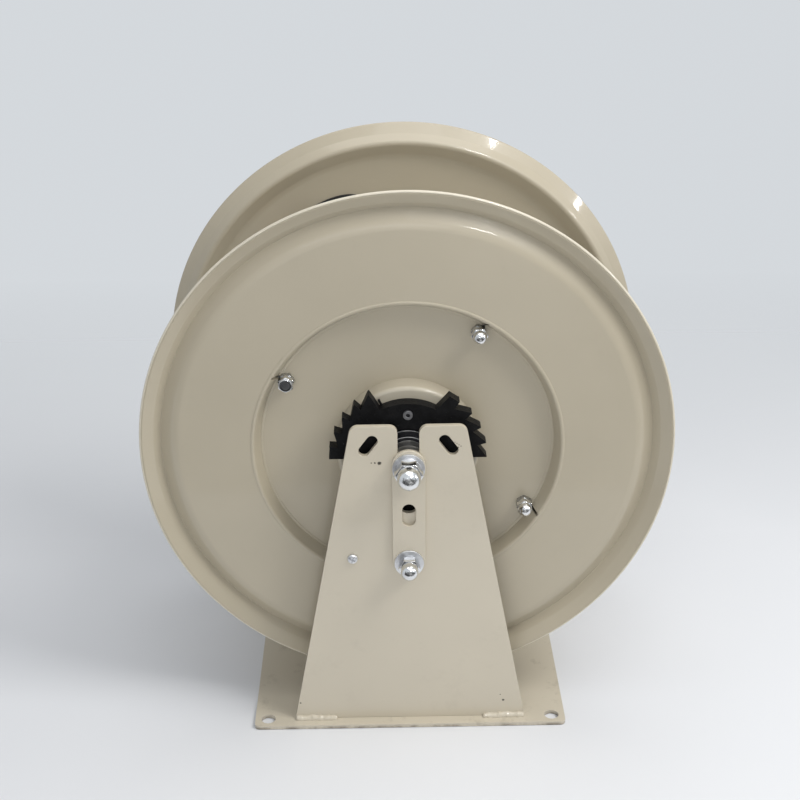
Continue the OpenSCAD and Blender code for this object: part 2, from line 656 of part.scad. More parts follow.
// Ratchet: a plain disc with two toothed sectors over the axis, five teeth a side
function teeth(first_a) = [for (k = [0:side_teeth - 1]) let(a = first_a + k * tooth_pitch)
    each [polar(tooth_root_r, a - 0.6), polar(tooth_tip_r, a), polar(tooth_tip_r - 0.6, a + 1.4)]];
module sector(outline) plate(hub_face_y, ratchet_y) polygon(concat([[0, 0]], outline));
module ratchet_plate() color(black) on_axis() to_front() difference() {
    last_left = left_tip_a + (side_teeth - 1) * tooth_pitch;
    last_right = right_tip_a + (side_teeth - 1) * tooth_pitch;
    union() {
        rod(crown_r, hub_face_y, ratchet_y);
        difference() {
            union() {
                sector(concat(teeth(right_tip_a), [polar(tooth_tip_r - 0.6, last_right + land_a),
                    polar(crown_r - 2, last_right + 1.45 * land_a)]));
                sector(concat([polar(crown_r - 2, left_tip_a - 0.9)], teeth(left_tip_a),
                    [for (a = [4:4:16]) polar(tooth_tip_r - 0.4, last_left + a)]));
                plate(hub_face_y, hub_face_y + 3)
                    polygon([[0, 0], polar(crown_r + 5.5, stub_a - 0.8), polar(crown_r + 5.5, stub_a + 0.8)]);
            }
            translate([-tooth_tip_r - 1, hub_face_y - 1, plate_bottom - 2 * tooth_tip_r])
                cube([2 * tooth_tip_r + 2, ratchet_t + 2, 2 * tooth_tip_r]);
        }
    }
    rod(notch_r, hub_face_y - 1, ratchet_y + 1);
    rod(bush_room_r, nose_y - 0.5, ratchet_y + 1);
    for (a = ratchet_screw_a) at(ratchet_screw_r, a) rod(ratchet_screw_hole_r, hub_face_y - 1, ratchet_y + 1);
}
module ratchet_screws() color(steel) on_axis() to_front() for (a = ratchet_screw_a) at(ratchet_screw_r, a)
    translate([0, ratchet_y, 0]) cap_screw(ratchet_screw_hole_r, ratchet_t + 10, 4.25, 3, 2);

// Pawl, drawn engaged round the spindle axis and turned back about its pivot to the lifted place
module pawl_blank() {
    pivot = [-pawl_x, -pawl_z];
    tip = polar(pawl_tip_r - 1, pawl_tip_a);
    heel = tip + polar(pawl_face, pawl_tip_a);
    difference() {
        union() {
            plate(pawl_y, pawl_end_y) polygon([tip, heel, pivot + under_a, pivot + under_b,
                pivot + tail_end - [-2, 4.5], pivot + tail_end - [2, -4.5], pivot + [-4, 6],
                pivot + [12, 17], tip + [-15, -4.6]]);
            translate([pivot[0], 0, pivot[1]]) rod(pawl_eye_r, pawl_y, pawl_end_y);
            translate([pivot[0] + tail_end[0], 0, pivot[1] + tail_end[1]]) rod(6.2, pawl_y, pawl_end_y);
        }
        translate([pivot[0], 0, pivot[1]]) rod(sleeve_r + run_gap, pawl_y - 1, pawl_end_y + 1);
        translate([pivot[0] + tail_end[0], 0, pivot[1] + tail_end[1]]) rod(2.5, pawl_y - 1, pawl_end_y + 1);
    }
}
module at_pawl() on_axis() to_front() translate([-pawl_x, 0, -pawl_z]) children();
module pawl() color(black) at_pawl() rotate([0, pawl_lift, 0]) translate([pawl_x, 0, pawl_z]) pawl_blank();
module pawl_screw() color(zinc) at_pawl() translate([0, bracket_out_y, 0])
    pan_screw(pawl_screw_r, bracket_out_y - sleeve_end_y + 6.5, 4.75, 3.4, 1.2);
module pawl_sleeve() color(zinc) at_pawl() washer(sleeve_r, pawl_screw_r, sleeve_end_y, bracket_in_y);
module pawl_washer() color(zinc) at_pawl() washer(8, pawl_screw_r, sleeve_end_y - 1.5, sleeve_end_y);
module pawl_nut() color(zinc) at_pawl() translate([0, sleeve_end_y - 1.5, 0]) mirror([0, 1, 0])
    hex_nut(8, 4.5, pawl_screw_r);
module spring_leg_pin() color(zinc) at_pawl() translate([leg_pin[0], 0, leg_pin[1]])
    rod(2.5, pawl_end_y + 1, bracket_in_y);

// Torsion spring round the pawl's sleeve: one leg hooks under the pawl, the other rests on a pin
function touch_a(p, side) = atan2(p[1], p[0]) + side * acos(coil_r / norm(p));
coil_start_y = pawl_end_y + wire_r + 0.3;
coil_end_y = bracket_in_y - wire_r - 0.3;
coil_steps = 20;
under_line = unit(under_a - under_b);
pawl_leg = turned_by(
    under_b + 9 * under_line + (wire_r + 0.12) * [under_line[1], -under_line[0]], -pawl_lift);
pin_leg = leg_pin + (2.5 + wire_r + 0.05) * unit([0.62, 0.78]);
coil_a = touch_a(pawl_leg, 1);
coil_turn = 360 * (coil_turns + 1) + touch_a(pin_leg, -1) - coil_a;
function coil_point(t) = let(a = coil_a + t * coil_turn)
    [coil_r * cos(a), coil_start_y + t * (coil_end_y - coil_start_y), coil_r * sin(a)];
coil_path = concat(
    [[pawl_leg[0], pawl_y + 1, pawl_leg[1]], [pawl_leg[0], coil_start_y, pawl_leg[1]]],
    [for (k = [0:coil_steps * coil_turns]) coil_point(k / (coil_steps * coil_turns))],
    [[pin_leg[0], coil_end_y, pin_leg[1]]]
);
function cross_unit(a, b) = unit(cross(a, b));
function wire_ring(path, i, r, sides) = let(
    d = unit(path[min(i + 1, len(path) - 1)] - path[max(i - 1, 0)]),
    u = cross_unit(d, abs(d[1]) < 0.9 ? [0, 1, 0] : [1, 0, 0]), w = cross(d, u)
) [for (s = [0:sides - 1]) path[i] + r * (u * cos(s * 360 / sides) + w * sin(s * 360 / sides))];
module wire(path, r, sides = 8) {
    n = len(path);
    points = [for (i = [0:n - 1]) each wire_ring(path, i, r, sides)];
    walls = [for (i = [0:n - 2], s = [0:sides - 1]) let(t = (s + 1) % sides)
        [i * sides + s, i * sides + t, (i + 1) * sides + t, (i + 1) * sides + s]];
    first = [for (s = [sides - 1:-1:0]) s];
    last = [for (s = [0:sides - 1]) (n - 1) * sides + s];
    polyhedron(points, concat([first], walls, [last]), convexity = 10);
}
module pawl_spring() color(steel) at_pawl() wire(coil_path, wire_r);

// Rewind motor
module spring_cover() color(zinc) on_axis() to_front() difference() {
    washer(case_lip_r, spigot_r, cover_y, dish_in_y);
    ring_of(4, hub_screw_circle_r, front_screw_a) rod(3, cover_y - 1, dish_in_y + 1);
    ring_of(6, case_screw_circle_r, 0) rod(2.5, cover_y - 1, dish_in_y + 1);
}
module spring_case() color(zinc) on_axis() to_front() difference() {
    turned(concat(
        [[case_lip_r, cover_y], [case_lip_r, cover_y - case_t]],
        rounded([[case_r, cover_y - case_t, 0], [case_r, case_floor_y - case_t, 4],
            [case_hole_r, case_floor_y - case_t, 0]]),
        [[case_hole_r, case_floor_y], [case_r - case_t, case_floor_y], [case_r - case_t, cover_y]]
    ));
    ring_of(6, case_screw_circle_r, 0) rod(2.5, cover_y - case_t - 1, cover_y + 1);
}
module case_screws() color(black) on_axis() ring_of(6, case_screw_circle_r, 0)
    translate([0, case_t - cover_y, 0]) cap_screw(2.5, cover_t + case_t, 4, 2.8, 1.7);

// Flat spiral with a tang in the arbor's slot and an eye round the anchor pin
strip_in_r = arbor_r + 0.3;
strip_out_r = pin_circle_r;
strip_steps = 24;
function strip_r(a) = strip_in_r + (strip_out_r - strip_in_r) * a / (360 * strip_turns);
function spiral(offset) = [for (k = [0:strip_steps * strip_turns]) let(a = k * 360 / strip_steps)
    polar(strip_r(a) + offset, a)];
strip_outline = let(inner = spiral(0), outer = spiral(strip_t), n = len(inner)) concat(
    [[arbor_r - 5, 0]], outer, [for (i = [n - 1:-1:1]) inner[i]],
    [[arbor_r + 0.25, strip_t], [arbor_r - 5, strip_t]]
);
module power_spring() color(steel) on_axis() to_front() difference() {
    union() {
        plate(strip_end_y, strip_y) polygon(strip_outline);
        at(pin_circle_r, 0) rod(pin_r + 0.05 + strip_t, strip_end_y, strip_y);
    }
    at(pin_circle_r, 0) rod(pin_r + 0.05, strip_end_y - 1, strip_y + 1);
}
module spring_anchor_pin() color(zinc) on_axis() to_front() at(pin_circle_r, 0)
    rod(pin_r, case_floor_y, cover_y);
module spring_arbor() color(steel) on_axis() to_front() difference() {
    washer(arbor_r, shaft_r, strip_end_y, arbor_y);
    translate([arbor_r - 5.2, strip_end_y - 1, -0.2]) cube([6, arbor_y - strip_end_y + 2, strip_t + 0.4]);
    translate([-key_w / 2, strip_end_y - 1, 0])
        cube([key_w, arbor_y - strip_end_y + 2, shaft_r - key_seat + key_h]);
}
module arbor_key() color(steel) on_axis() translate([-key_w / 2, 6 - arbor_y, shaft_r - key_seat])
    cube([key_w, key_l, key_h]);
module arbor_collar() color(steel) on_axis() to_front()
    washer(arbor_collar_r, shaft_r, strip_end_y - arbor_collar_l, strip_end_y);

// Swivel: a housing that turns with the drum on the hollow end of the spindle
swivel_bore_r = shaft_r + run_gap;
function notch(r, y0, y1) = [[swivel_bore_r, y0], [r, y0], [r, y1], [swivel_bore_r, y1]];
module swivel_cavity() turned(concat(
    [[0, rear_disc_y - 1], [bush_flange_r, rear_disc_y - 1], [bush_flange_r, rear_disc_y + bush_flange_t],
        [swivel_bore_r, rear_disc_y + bush_flange_t]],
    notch(shaft_r + seal_depth, seal_y[0] - seal_w / 2, seal_y[0] + seal_w / 2),
    notch(groove_r, swivel_y - groove_w / 2, swivel_y + groove_w / 2),
    notch(shaft_r + seal_depth, seal_y[1] - seal_w / 2, seal_y[1] + seal_w / 2),
    [[swivel_bore_r, swivel_end_y + 1], [0, swivel_end_y + 1]]
));
module along_port(r) at(r, feed_a) translate([0, swivel_y, 0]) rotate([0, 90, 0]) children();
module swivel_body() color(brass) on_axis() difference() {
    union() {
        turned([[0, rear_disc_y], [swivel_flange_r, rear_disc_y],
            [swivel_flange_r, rear_disc_y + swivel_flange_t], [swivel_r, rear_disc_y + swivel_flange_t],
            [swivel_r, swivel_end_y], [0, swivel_end_y]]);
        along_port(groove_r + 1) cylinder(r = port_boss_r, h = port_boss_end - groove_r - 1);
        along_port(groove_r + 1) cylinder(r = port_stub_r, h = port_stub_end - groove_r - 1);
    }
    swivel_cavity();
    along_port(shaft_r / 2) cylinder(r = port_r, h = port_stub_end);
    along_port(swivel_r - 3) cylinder(r = riser_r - riser_t, h = port_stub_end);
    ring_of(4, swivel_screw_circle_r, rear_screw_a) rod(3, rear_disc_y - 1, rear_disc_y + 10);
}
module swivel_screws() color(black) on_axis() ring_of(4, swivel_screw_circle_r, rear_screw_a)
    translate([0, rear_disc_y + swivel_flange_t, 0])
        cap_screw(3, swivel_flange_t + rear_hub_t - 1, 5, 6, 2.5);
module swivel_seals() color(black) on_axis() for (y = seal_y) translate([0, y, 0]) rotate([-90, 0, 0])
    rotate_extrude() translate([shaft_r + seal_depth / 2, 0]) circle(seal_depth / 2 - run_gap, $fn = 32);
module swivel_thrust_washer() color(steel) on_axis()
    washer(shaft_r + 6, shaft_r + run_gap, swivel_end_y + 0.2, swivel_end_y + 1.2);
module swivel_circlip() color(steel) on_axis() difference() {
    washer(shaft_r + 3, circlip_groove_r, circlip_y, circlip_y + circlip_t);
    translate([0, circlip_y - 1, -3]) cube([2 * shaft_r, circlip_t + 2, 6]);
}
module union_nut() color(zinc) on_axis() along_port(port_boss_end + 1) difference() {
    cylinder(r = union_af / 2 / cos(30), h = union_l, $fn = 6);
    translate([0, 0, -1]) cylinder(r = riser_r, h = union_l + 2);
    translate([0, 0, -1]) cylinder(r = port_stub_r, h = port_stub_end - port_boss_end);
}

// Riser: out along the radius, back through the hose opening and round beside the drum
module riser_form(r) {
    translate([port_stub_end, swivel_y, 0]) rotate([0, 90, 0])
        cylinder(r = r, h = feed_r - bend_r - port_stub_end);
    translate([feed_r - bend_r, riser_y, 0]) rotate_extrude(angle = 90) translate([bend_r, 0]) circle(r);
    translate([feed_r, riser_y, elbow_r]) rotate([180, 90, 0]) rotate_extrude(angle = 90)
        translate([elbow_r, 0]) circle(r);
}
module riser_pipe() color(paint) on_axis() at(0, feed_a) difference() {
    riser_form(riser_r);
    riser_form(riser_r - riser_t);
}
module hose_stem() color(brass) on_axis() at(0, feed_a) translate([feed_r, riser_y - elbow_r, elbow_r])
    difference() {
        union() {
            cylinder(r = riser_r + 2, h = stem_hex_l, $fn = 6);
            cylinder(r = stem_r, h = stem_hex_l + stem_l);
            translate([0, 0, stem_hex_l + stem_l])
                cylinder(r1 = stem_r, r2 = (stem_r + stem_bore_r) / 2, h = 4);
        }
        translate([0, 0, -1]) cylinder(r = stem_bore_r, h = stem_hex_l + stem_l + 6);
    }

base_plate();
front_bracket();
rear_bracket();
bracket_welds();
main_shaft();
clamp_strap();
shaft_washer();
shaft_spring_washer();
shaft_dome_nut();
strap_bolt();
strap_washer();
strap_spring_washer();
strap_dome_nut();
front_collar();
collar_set_screw();
spring_arbor();
arbor_key();
arbor_collar();
swivel_thrust_washer();
swivel_circlip();
rear_washer();
rear_lock_nut();
pawl_screw();
pawl_sleeve();
pawl_washer();
pawl_nut();
pawl_spring();
spring_leg_pin();
pawl();
front_flange();
rear_flange();
drum_tube();
tie_rods();
tie_washers();
tie_nuts();
tie_dome_nuts();
tie_lock_nut();
front_hub();
rear_hub();
rear_hub_ring();
front_bush();
rear_bush();
front_hub_screws();
rear_hub_screws();
ratchet_plate();
ratchet_screws();
spring_cover();
spring_case();
case_screws();
power_spring();
spring_anchor_pin();
swivel_body();
swivel_screws();
swivel_seals();
union_nut();
riser_pipe();
hose_stem();
feed_grommet();
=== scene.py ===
import bpy
import bmesh
import json
import math
from mathutils import Matrix, Vector

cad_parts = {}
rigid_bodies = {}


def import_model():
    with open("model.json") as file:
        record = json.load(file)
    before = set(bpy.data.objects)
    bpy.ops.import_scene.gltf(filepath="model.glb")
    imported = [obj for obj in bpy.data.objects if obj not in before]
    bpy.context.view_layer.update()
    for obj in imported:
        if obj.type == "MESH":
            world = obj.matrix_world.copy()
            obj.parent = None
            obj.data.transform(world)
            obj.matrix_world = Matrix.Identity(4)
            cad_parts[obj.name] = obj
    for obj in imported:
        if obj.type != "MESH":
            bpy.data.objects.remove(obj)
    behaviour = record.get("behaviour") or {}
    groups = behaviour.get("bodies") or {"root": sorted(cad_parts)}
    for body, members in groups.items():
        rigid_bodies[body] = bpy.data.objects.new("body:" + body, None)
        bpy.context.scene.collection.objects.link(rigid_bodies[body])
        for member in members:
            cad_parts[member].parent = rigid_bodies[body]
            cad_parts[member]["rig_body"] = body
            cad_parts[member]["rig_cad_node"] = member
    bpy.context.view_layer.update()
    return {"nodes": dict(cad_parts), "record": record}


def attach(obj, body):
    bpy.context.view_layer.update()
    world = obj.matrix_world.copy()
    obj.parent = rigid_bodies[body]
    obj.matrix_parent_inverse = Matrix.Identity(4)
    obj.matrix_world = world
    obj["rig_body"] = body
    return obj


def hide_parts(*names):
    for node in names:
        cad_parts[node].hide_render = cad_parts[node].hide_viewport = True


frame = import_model()
cadNodes = frame["nodes"]
mm = 0.001
axisZ = 0.2725  # spindle height over the floor, in metres
touching = 1e-6  # points closer than this, in metres, are one
print("frame loaded:", len(cadNodes), "nodes")


def objectMode():
    if bpy.context.mode != "OBJECT":
        bpy.ops.object.mode_set(mode="OBJECT")
    bpy.ops.object.select_all(action="DESELECT")


def pick(*objects):
    objectMode()
    for thing in objects:
        thing.select_set(True)
    bpy.context.view_layer.objects.active = objects[0]


def editNone(piece, kind="FACE"):
    # edit mode with nothing selected
    pick(piece)
    bpy.ops.object.mode_set(mode="EDIT")
    bpy.ops.mesh.select_mode(type=kind)
    bpy.ops.mesh.select_all(action="DESELECT")
    return bmesh.from_edit_mesh(piece.data)


def choose(piece, items, test):
    # selects the verts or faces that pass the test
    for item in items:
        if test(item):
            item.select_set(True)
    bmesh.update_edit_mesh(piece.data)


def named(piece, name):
    piece.name = name
    piece.data.name = name
    return piece


def settle(piece, name):
    # place goes into the mesh, the object stays at the origin
    pick(piece)
    bpy.ops.object.transform_apply(location=True, rotation=True, scale=True)
    return named(piece, name)


def modify(piece, kind, **settings):
    # one modifier, added and applied
    modifier = piece.modifiers.new(kind.lower(), kind)
    for key, value in settings.items():
        setattr(modifier, key, value)
    pick(piece)
    bpy.ops.object.modifier_apply(modifier=modifier.name)


def smoothBy(piece, degrees):
    pick(piece)
    bpy.ops.object.shade_smooth_by_angle(angle=math.radians(degrees))


def cleanShell(piece, distance=0.00001):
    pick(piece)
    bpy.ops.object.mode_set(mode="EDIT")
    bpy.ops.mesh.select_all(action="SELECT")
    bpy.ops.mesh.remove_doubles(threshold=distance)
    bpy.ops.mesh.normals_make_consistent(inside=False)
    objectMode()


def copyTo(piece, name, place, turn=(0, 0, 0)):
    # a copy of something modelled at the origin, turned there and then set in its place
    pick(piece)
    bpy.ops.object.duplicate()
    twin = bpy.context.object
    twin.rotation_euler = turn
    twin.location = place
    return settle(twin, name)


def joined(pieces, name):
    pick(*pieces)
    if len(pieces) > 1:
        bpy.ops.object.join()
    return named(bpy.context.object, name)


def drop(*pieces):
    for piece in pieces:
        pick(piece)
        bpy.ops.object.delete()


def carve(piece, cutter, solver="EXACT", operation="DIFFERENCE"):
    modify(piece, "BOOLEAN", operation=operation, solver=solver, object=cutter)
    drop(cutter)


def polar(radius, degrees, y=0.0):
    # a point round the spindle axis, given in mm, anticlockwise as seen from the front
    angle = math.radians(degrees)
    return Vector((radius * mm * math.cos(angle), y * mm, axisZ + radius * mm * math.sin(angle)))


def rodAlongY(name, radius, long, sides=48, place=(0, 0, 0)):
    bpy.ops.object.select_all(action="DESELECT")
    bpy.ops.mesh.primitive_cylinder_add(vertices=sides, radius=radius * mm, depth=long * mm,
                                        location=place, rotation=(math.pi / 2, 0, 0))
    return settle(bpy.context.object, name)


def blockAt(name, size, place, turn):
    # a block of the size in mm, turned in its place
    bpy.ops.object.select_all(action="DESELECT")
    bpy.ops.mesh.primitive_cube_add(size=1, location=place, rotation=turn)
    block = bpy.context.object
    block.scale = [side * mm for side in size]
    return settle(block, name)


def lathe(name, outline, steps, centre=(0, 0, axisZ), rounding=(), closed=False):
    # outline is (radius, y) in mm from the spindle; rounding is {corner number: (width, segments)}
    bpy.ops.object.select_all(action="DESELECT")
    bpy.ops.mesh.primitive_plane_add(size=mm, location=centre)
    piece = bpy.context.object
    mesh = editNone(piece, "VERT")
    choose(piece, mesh.verts, lambda v: v.index > 0)
    bpy.ops.mesh.delete(type="VERT")
    start = Vector((outline[0][0] * mm, outline[0][1] * mm, 0))
    mesh = bmesh.from_edit_mesh(piece.data)
    mesh.verts.ensure_lookup_table()
    bpy.ops.mesh.select_all(action="SELECT")
    bpy.ops.transform.translate(value=start - mesh.verts[0].co)
    for before, after in zip(outline, outline[1:]):
        step = ((after[0] - before[0]) * mm, (after[1] - before[1]) * mm, 0)
        bpy.ops.mesh.extrude_region_move(TRANSFORM_OT_translate={"value": step})
    for corner in sorted(rounding, reverse=True):
        width, segments = rounding[corner]
        place = Vector((outline[corner][0] * mm, outline[corner][1] * mm, 0))
        mesh = editNone(piece, "VERT")
        choose(piece, mesh.verts, lambda v: (v.co - place).length < touching)
        bpy.ops.mesh.bevel(offset=width * mm, offset_type="OFFSET", segments=segments, affect="VERTICES")
    if closed:
        mesh = editNone(piece, "VERT")
        choose(piece, mesh.verts, lambda v: len(v.link_edges) == 1)
        bpy.ops.mesh.edge_face_add()
    bpy.ops.mesh.select_all(action="SELECT")
    bpy.ops.mesh.spin(steps=steps, angle=math.radians(360), center=centre, axis=(0, 1, 0))
    objectMode()
    settle(piece, name)
    cleanShell(piece)
    return piece


def breakEdges(piece, width, segments=2, angle=35, finish=None, edgeWearAndHighlight=None):
    # with an edge finish the broken edges take it, and the faces keep the plain one; these edge finishes are
    # partly wear and partly painted highlight
    if edgeWearAndHighlight:
        piece.data.materials.clear()
        piece.data.materials.append(finish)
        piece.data.materials.append(edgeWearAndHighlight)
    modify(piece, "BEVEL", width=width * mm, segments=segments, limit_method="ANGLE",
           angle_limit=math.radians(angle), use_clamp_overlap=True, material=1 if edgeWearAndHighlight else -1)
    # smooth over the broken edges while the flat faces stay flat
    smoothBy(piece, 40)
    modify(piece, "WEIGHTED_NORMAL", mode="FACE_AREA", weight=100, keep_sharp=True)


def softCopy(node, name, width, segments=3, finish=None, edgeWearAndHighlight=None):
    # a merged copy of a solid with its edges broken, as a file or a tumbler leaves them
    pick(cadNodes[node])
    bpy.ops.object.duplicate()
    piece = named(bpy.context.object, name)
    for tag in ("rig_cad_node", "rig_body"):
        if tag in piece:
            del piece[tag]
    pick(piece)
    bpy.ops.object.mode_set(mode="EDIT")
    bpy.ops.mesh.select_all(action="SELECT")
    bpy.ops.mesh.customdata_custom_splitnormals_clear()
    bpy.ops.mesh.remove_doubles(threshold=0.000005)
    bpy.ops.mesh.dissolve_limited(angle_limit=math.radians(0.5))
    objectMode()
    breakEdges(piece, width, segments, finish=finish, edgeWearAndHighlight=edgeWearAndHighlight)
    return piece


# chamfer is the seat circle over the flats, slope the chamfer's fall, edge the width of a broken edge
hexTurning = {"chamfer": 0.96, "reach": 1.3, "slope": 0.55, "edge": 0.22, "edgeAngle": 25,
              "domeRound": 0.985}


def hexBlock(name, acrossFlats, height, bore=0):
    # a turned-off hexagon modelled at the origin, from its seat at y = 0 out to y = -height
    s = hexTurning
    corner = acrossFlats / 2 / math.cos(math.pi / 6)
    flat = acrossFlats / 2 * s["chamfer"]
    wide = corner * s["reach"]
    block = rodAlongY(name, corner, height, 6, (0, -height / 2 * mm, 0))
    cone = lathe("cone", [(0, 2), (wide, 2), (wide, (wide - flat) * s["slope"] - height), (flat, -height),
                          (0, -height)], 64, centre=(0, 0, 0))
    carve(block, cone, operation="INTERSECT")
    if bore:
        carve(block, rodAlongY("borer", bore, height * 3))
    breakEdges(block, s["edge"], angle=s["edgeAngle"])
    return block


def acornNut(name, acrossFlats, hexLong, long, dome):
    block = hexBlock("hexPart", acrossFlats, hexLong)
    cap = lathe("capPart", [(0, -hexLong / 2), (dome, -hexLong / 2), (dome, -long), (0, -long)], 48,
                centre=(0, 0, 0), rounding={2: (dome * hexTurning["domeRound"], 16)})
    smoothBy(cap, 50)
    return joined([block, cap], name)


def washerRing(name, inner, outer, thick, soft):
    ring = lathe(name, [(inner, 0), (outer, 0), (outer, -thick), (inner, -thick)], 64, centre=(0, 0, 0),
                 rounding={1: (soft * 0.6, 2), 2: (soft, 3)}, closed=True)
    smoothBy(ring, 50)
    return ring


def faceOut(angle, rear=False):
    # turns a thing modelled at the origin so that its corner points at the angle, facing front or rear
    if rear:
        return (0, math.radians(angle - 90), math.pi)
    return (0, math.radians(90 - angle), 0)


def dress(piece, finish, body, *nodes, slot):
    if finish:
        piece.data.materials.clear()
        piece.data.materials.append(finish)
    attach(piece, body)
    if nodes:
        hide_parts(*nodes)


def paintFaces(piece, finish, test):
    # a second finish on the faces that pass the test
    piece.data.materials.append(finish)
    mesh = editNone(piece)
    choose(piece, mesh.faces, test)
    piece.active_material_index = len(piece.data.materials) - 1
    bpy.ops.object.material_slot_assign()
    objectMode()


def addNode(tree, kind, inputs=(), **settings):
    # inputs are values or other nodes' outputs, by the socket's name or number; spot, used all through the
    # finishes, is the output that holds the place on the piece
    node = tree.nodes.new("ShaderNode" + kind)
    for key, value in settings.items():
        setattr(node, key, value)
    for socket, value in dict(inputs).items():
        if isinstance(value, bpy.types.NodeSocket):
            tree.links.new(value, node.inputs[socket])
        else:
            node.inputs[socket].default_value = value
    return node


def newFinish(name, metal=0.0):
    finish = bpy.data.materials.new(name)
    finish.use_nodes = True
    tree = finish.node_tree
    shader = tree.nodes["Principled BSDF"]
    shader.inputs["Metallic"].default_value = metal
    return finish, tree, shader, addNode(tree, "TexCoord").outputs["Object"]


def noiseAt(tree, spot, scale, detail=3.0, rough=0.55):
    settings = {"Scale": scale, "Detail": detail, "Roughness": rough, "Vector": spot}
    return addNode(tree, "TexNoise", settings).outputs["Fac"]


def mathOf(tree, operation, *terms):
    return addNode(tree, "Math", enumerate(terms), operation=operation).outputs["Value"]


def spreadOf(tree, value, low, high):
    # 0 at low and 1 at high, held between them
    return addNode(tree, "MapRange", {"From Min": low, "From Max": high, "Value": value}).outputs["Result"]


def rampOf(tree, source, *stops):
    # two stops, each a place and a grey or a colour
    ramp = addNode(tree, "ValToRGB", {"Fac": source})
    for element, (at, tone) in zip(ramp.color_ramp.elements, stops):
        element.position = at
        element.color = (*tone, 1) if isinstance(tone, tuple) else (tone, tone, tone, 1)
    return ramp.outputs["Color"]


def layOver(tree, colour, share, tone):
    # the tone over the colour, as far as share says
    inputs = {"Factor": share, "A": colour, "B": (*tone, 1)}
    return addNode(tree, "Mix", inputs, data_type="RGBA").outputs["Result"]


def setColour(tree, shader, colour):
    tree.links.new(colour, shader.inputs["Base Color"])


def setGloss(tree, shader, source, gloss, top=0.7):
    tree.links.new(rampOf(tree, source, (0.3, gloss[0]), (top, gloss[1])), shader.inputs["Roughness"])


def setBump(tree, shader, height, strength, distance):
    bump = addNode(tree, "Bump", {"Strength": strength, "Distance": distance, "Height": height})
    tree.links.new(bump.outputs["Normal"], shader.inputs["Normal"])


def darker(tone, share):
    return tuple(c * share for c in tone)


def spotMask(tree, spot, spots):
    # 1 inside small worn spots given as (x, y, z, radius), their edges ragged by noise
    ragged = noiseAt(tree, spot, 900, 2.0)
    total = None
    for x, y, z, radius in spots:
        away = addNode(tree, "VectorMath", {0: spot, 1: (x, y, z)}, operation="DISTANCE").outputs["Value"]
        pushed = mathOf(tree, "MULTIPLY_ADD", ragged, 1.1, mathOf(tree, "DIVIDE", away, radius))
        inside = spreadOf(tree, pushed, 1.75, 1.25)
        total = inside if total is None else mathOf(tree, "MAXIMUM", total, inside)
    return total


paintSettings = {"smudgeTone": (0.22, 0.18, 0.13), "bottomEdgeTone": (0.13, 0.105, 0.075),
             "spotTone": (0.05, 0.04, 0.03), "cloud": 0.94, "coat": 0.45, "coatGloss": 0.07}


def glossPaint(name, light, gloss=(0.38, 0.48), peel=0.03, spots=(), grime=0.0, darkUpTo=0.0):
    s = paintSettings
    finish, tree, shader, spot = newFinish(name)
    colour = rampOf(tree, noiseAt(tree, spot, 7), (0.3, darker(light, s["cloud"])), (0.7, light))
    if grime:
        smudge = rampOf(tree, noiseAt(tree, spot, 38, 6.0, 0.7), (0.56, 0), (0.78, grime))
        colour = layOver(tree, colour, smudge, s["smudgeTone"])
    if darkUpTo:
        # darker in streaks towards the bottom edge, up to the given height
        height = addNode(tree, "SeparateXYZ", {"Vector": spot}).outputs["Z"]
        low = spreadOf(tree, height, darkUpTo, darkUpTo * 0.2)
        streak = rampOf(tree, noiseAt(tree, spot, 60, 5.0, 0.7), (0.4, 0.1), (0.6, 0.85))
        colour = layOver(tree, colour, mathOf(tree, "MULTIPLY", low, streak), s["bottomEdgeTone"])
    if spots:
        colour = layOver(tree, colour, spotMask(tree, spot, spots), s["spotTone"])
    setColour(tree, shader, colour)
    setGloss(tree, shader, noiseAt(tree, spot, 24, 4.0), gloss)
    setBump(tree, shader, noiseAt(tree, spot, 420, 2.0, 0.4), peel, 0.0006)
    shader.inputs["Coat Weight"].default_value = s["coat"]
    shader.inputs["Coat Roughness"].default_value = s["coatGloss"]
    return finish


def brightZinc(name, tone, gloss):
    finish, tree, shader, spot = newFinish(name, metal=1.0)
    broad = noiseAt(tree, spot, 160)
    setColour(tree, shader, rampOf(tree, broad, (0.35, darker(tone, 0.86)), (0.65, tone)))
    setGloss(tree, shader, broad, gloss, top=0.75)
    setBump(tree, shader, noiseAt(tree, spot, 330), 0.16, 0.0005)
    return finish


def blackOxide(name, tone, gloss, cast, metal=0.0, shine=0.5, specks=0.0):
    # cast is the depth of the grit, specks the grey of the bare points
    finish, tree, shader, spot = newFinish(name, metal)
    shader.inputs["Specular IOR Level"].default_value = shine
    broad = noiseAt(tree, spot, 90, 5.0, 0.65)
    colour = rampOf(tree, broad, (0.42, tone), (0.72, darker(tone, 2.4)))
    if specks:
        dust = rampOf(tree, noiseAt(tree, spot, 620, 5.0, 0.7), (0.66, 0), (0.74, 1))
        colour = layOver(tree, colour, dust, (specks, specks, specks))
    setColour(tree, shader, colour)
    setGloss(tree, shader, broad, gloss)
    setBump(tree, shader, noiseAt(tree, spot, 700, 4.0, 0.6), cast, 0.0006)
    return finish


def turnedSteel(name, tone=(0.36, 0.36, 0.37), gloss=(0.28, 0.42)):
    # fine lines round the piece, as a turning tool leaves them
    finish, tree, shader, spot = newFinish(name, metal=1.0)
    stretched = addNode(tree, "Mapping", {"Scale": (60, 1600, 60), "Vector": spot}).outputs["Vector"]
    lines = noiseAt(tree, stretched, 1.0, 2.0, 0.5)
    setColour(tree, shader, rampOf(tree, noiseAt(tree, spot, 55), (0.35, darker(tone, 0.7)), (0.7, tone)))
    setGloss(tree, shader, lines, gloss)
    setBump(tree, shader, lines, 0.12, 0.0002)
    return finish


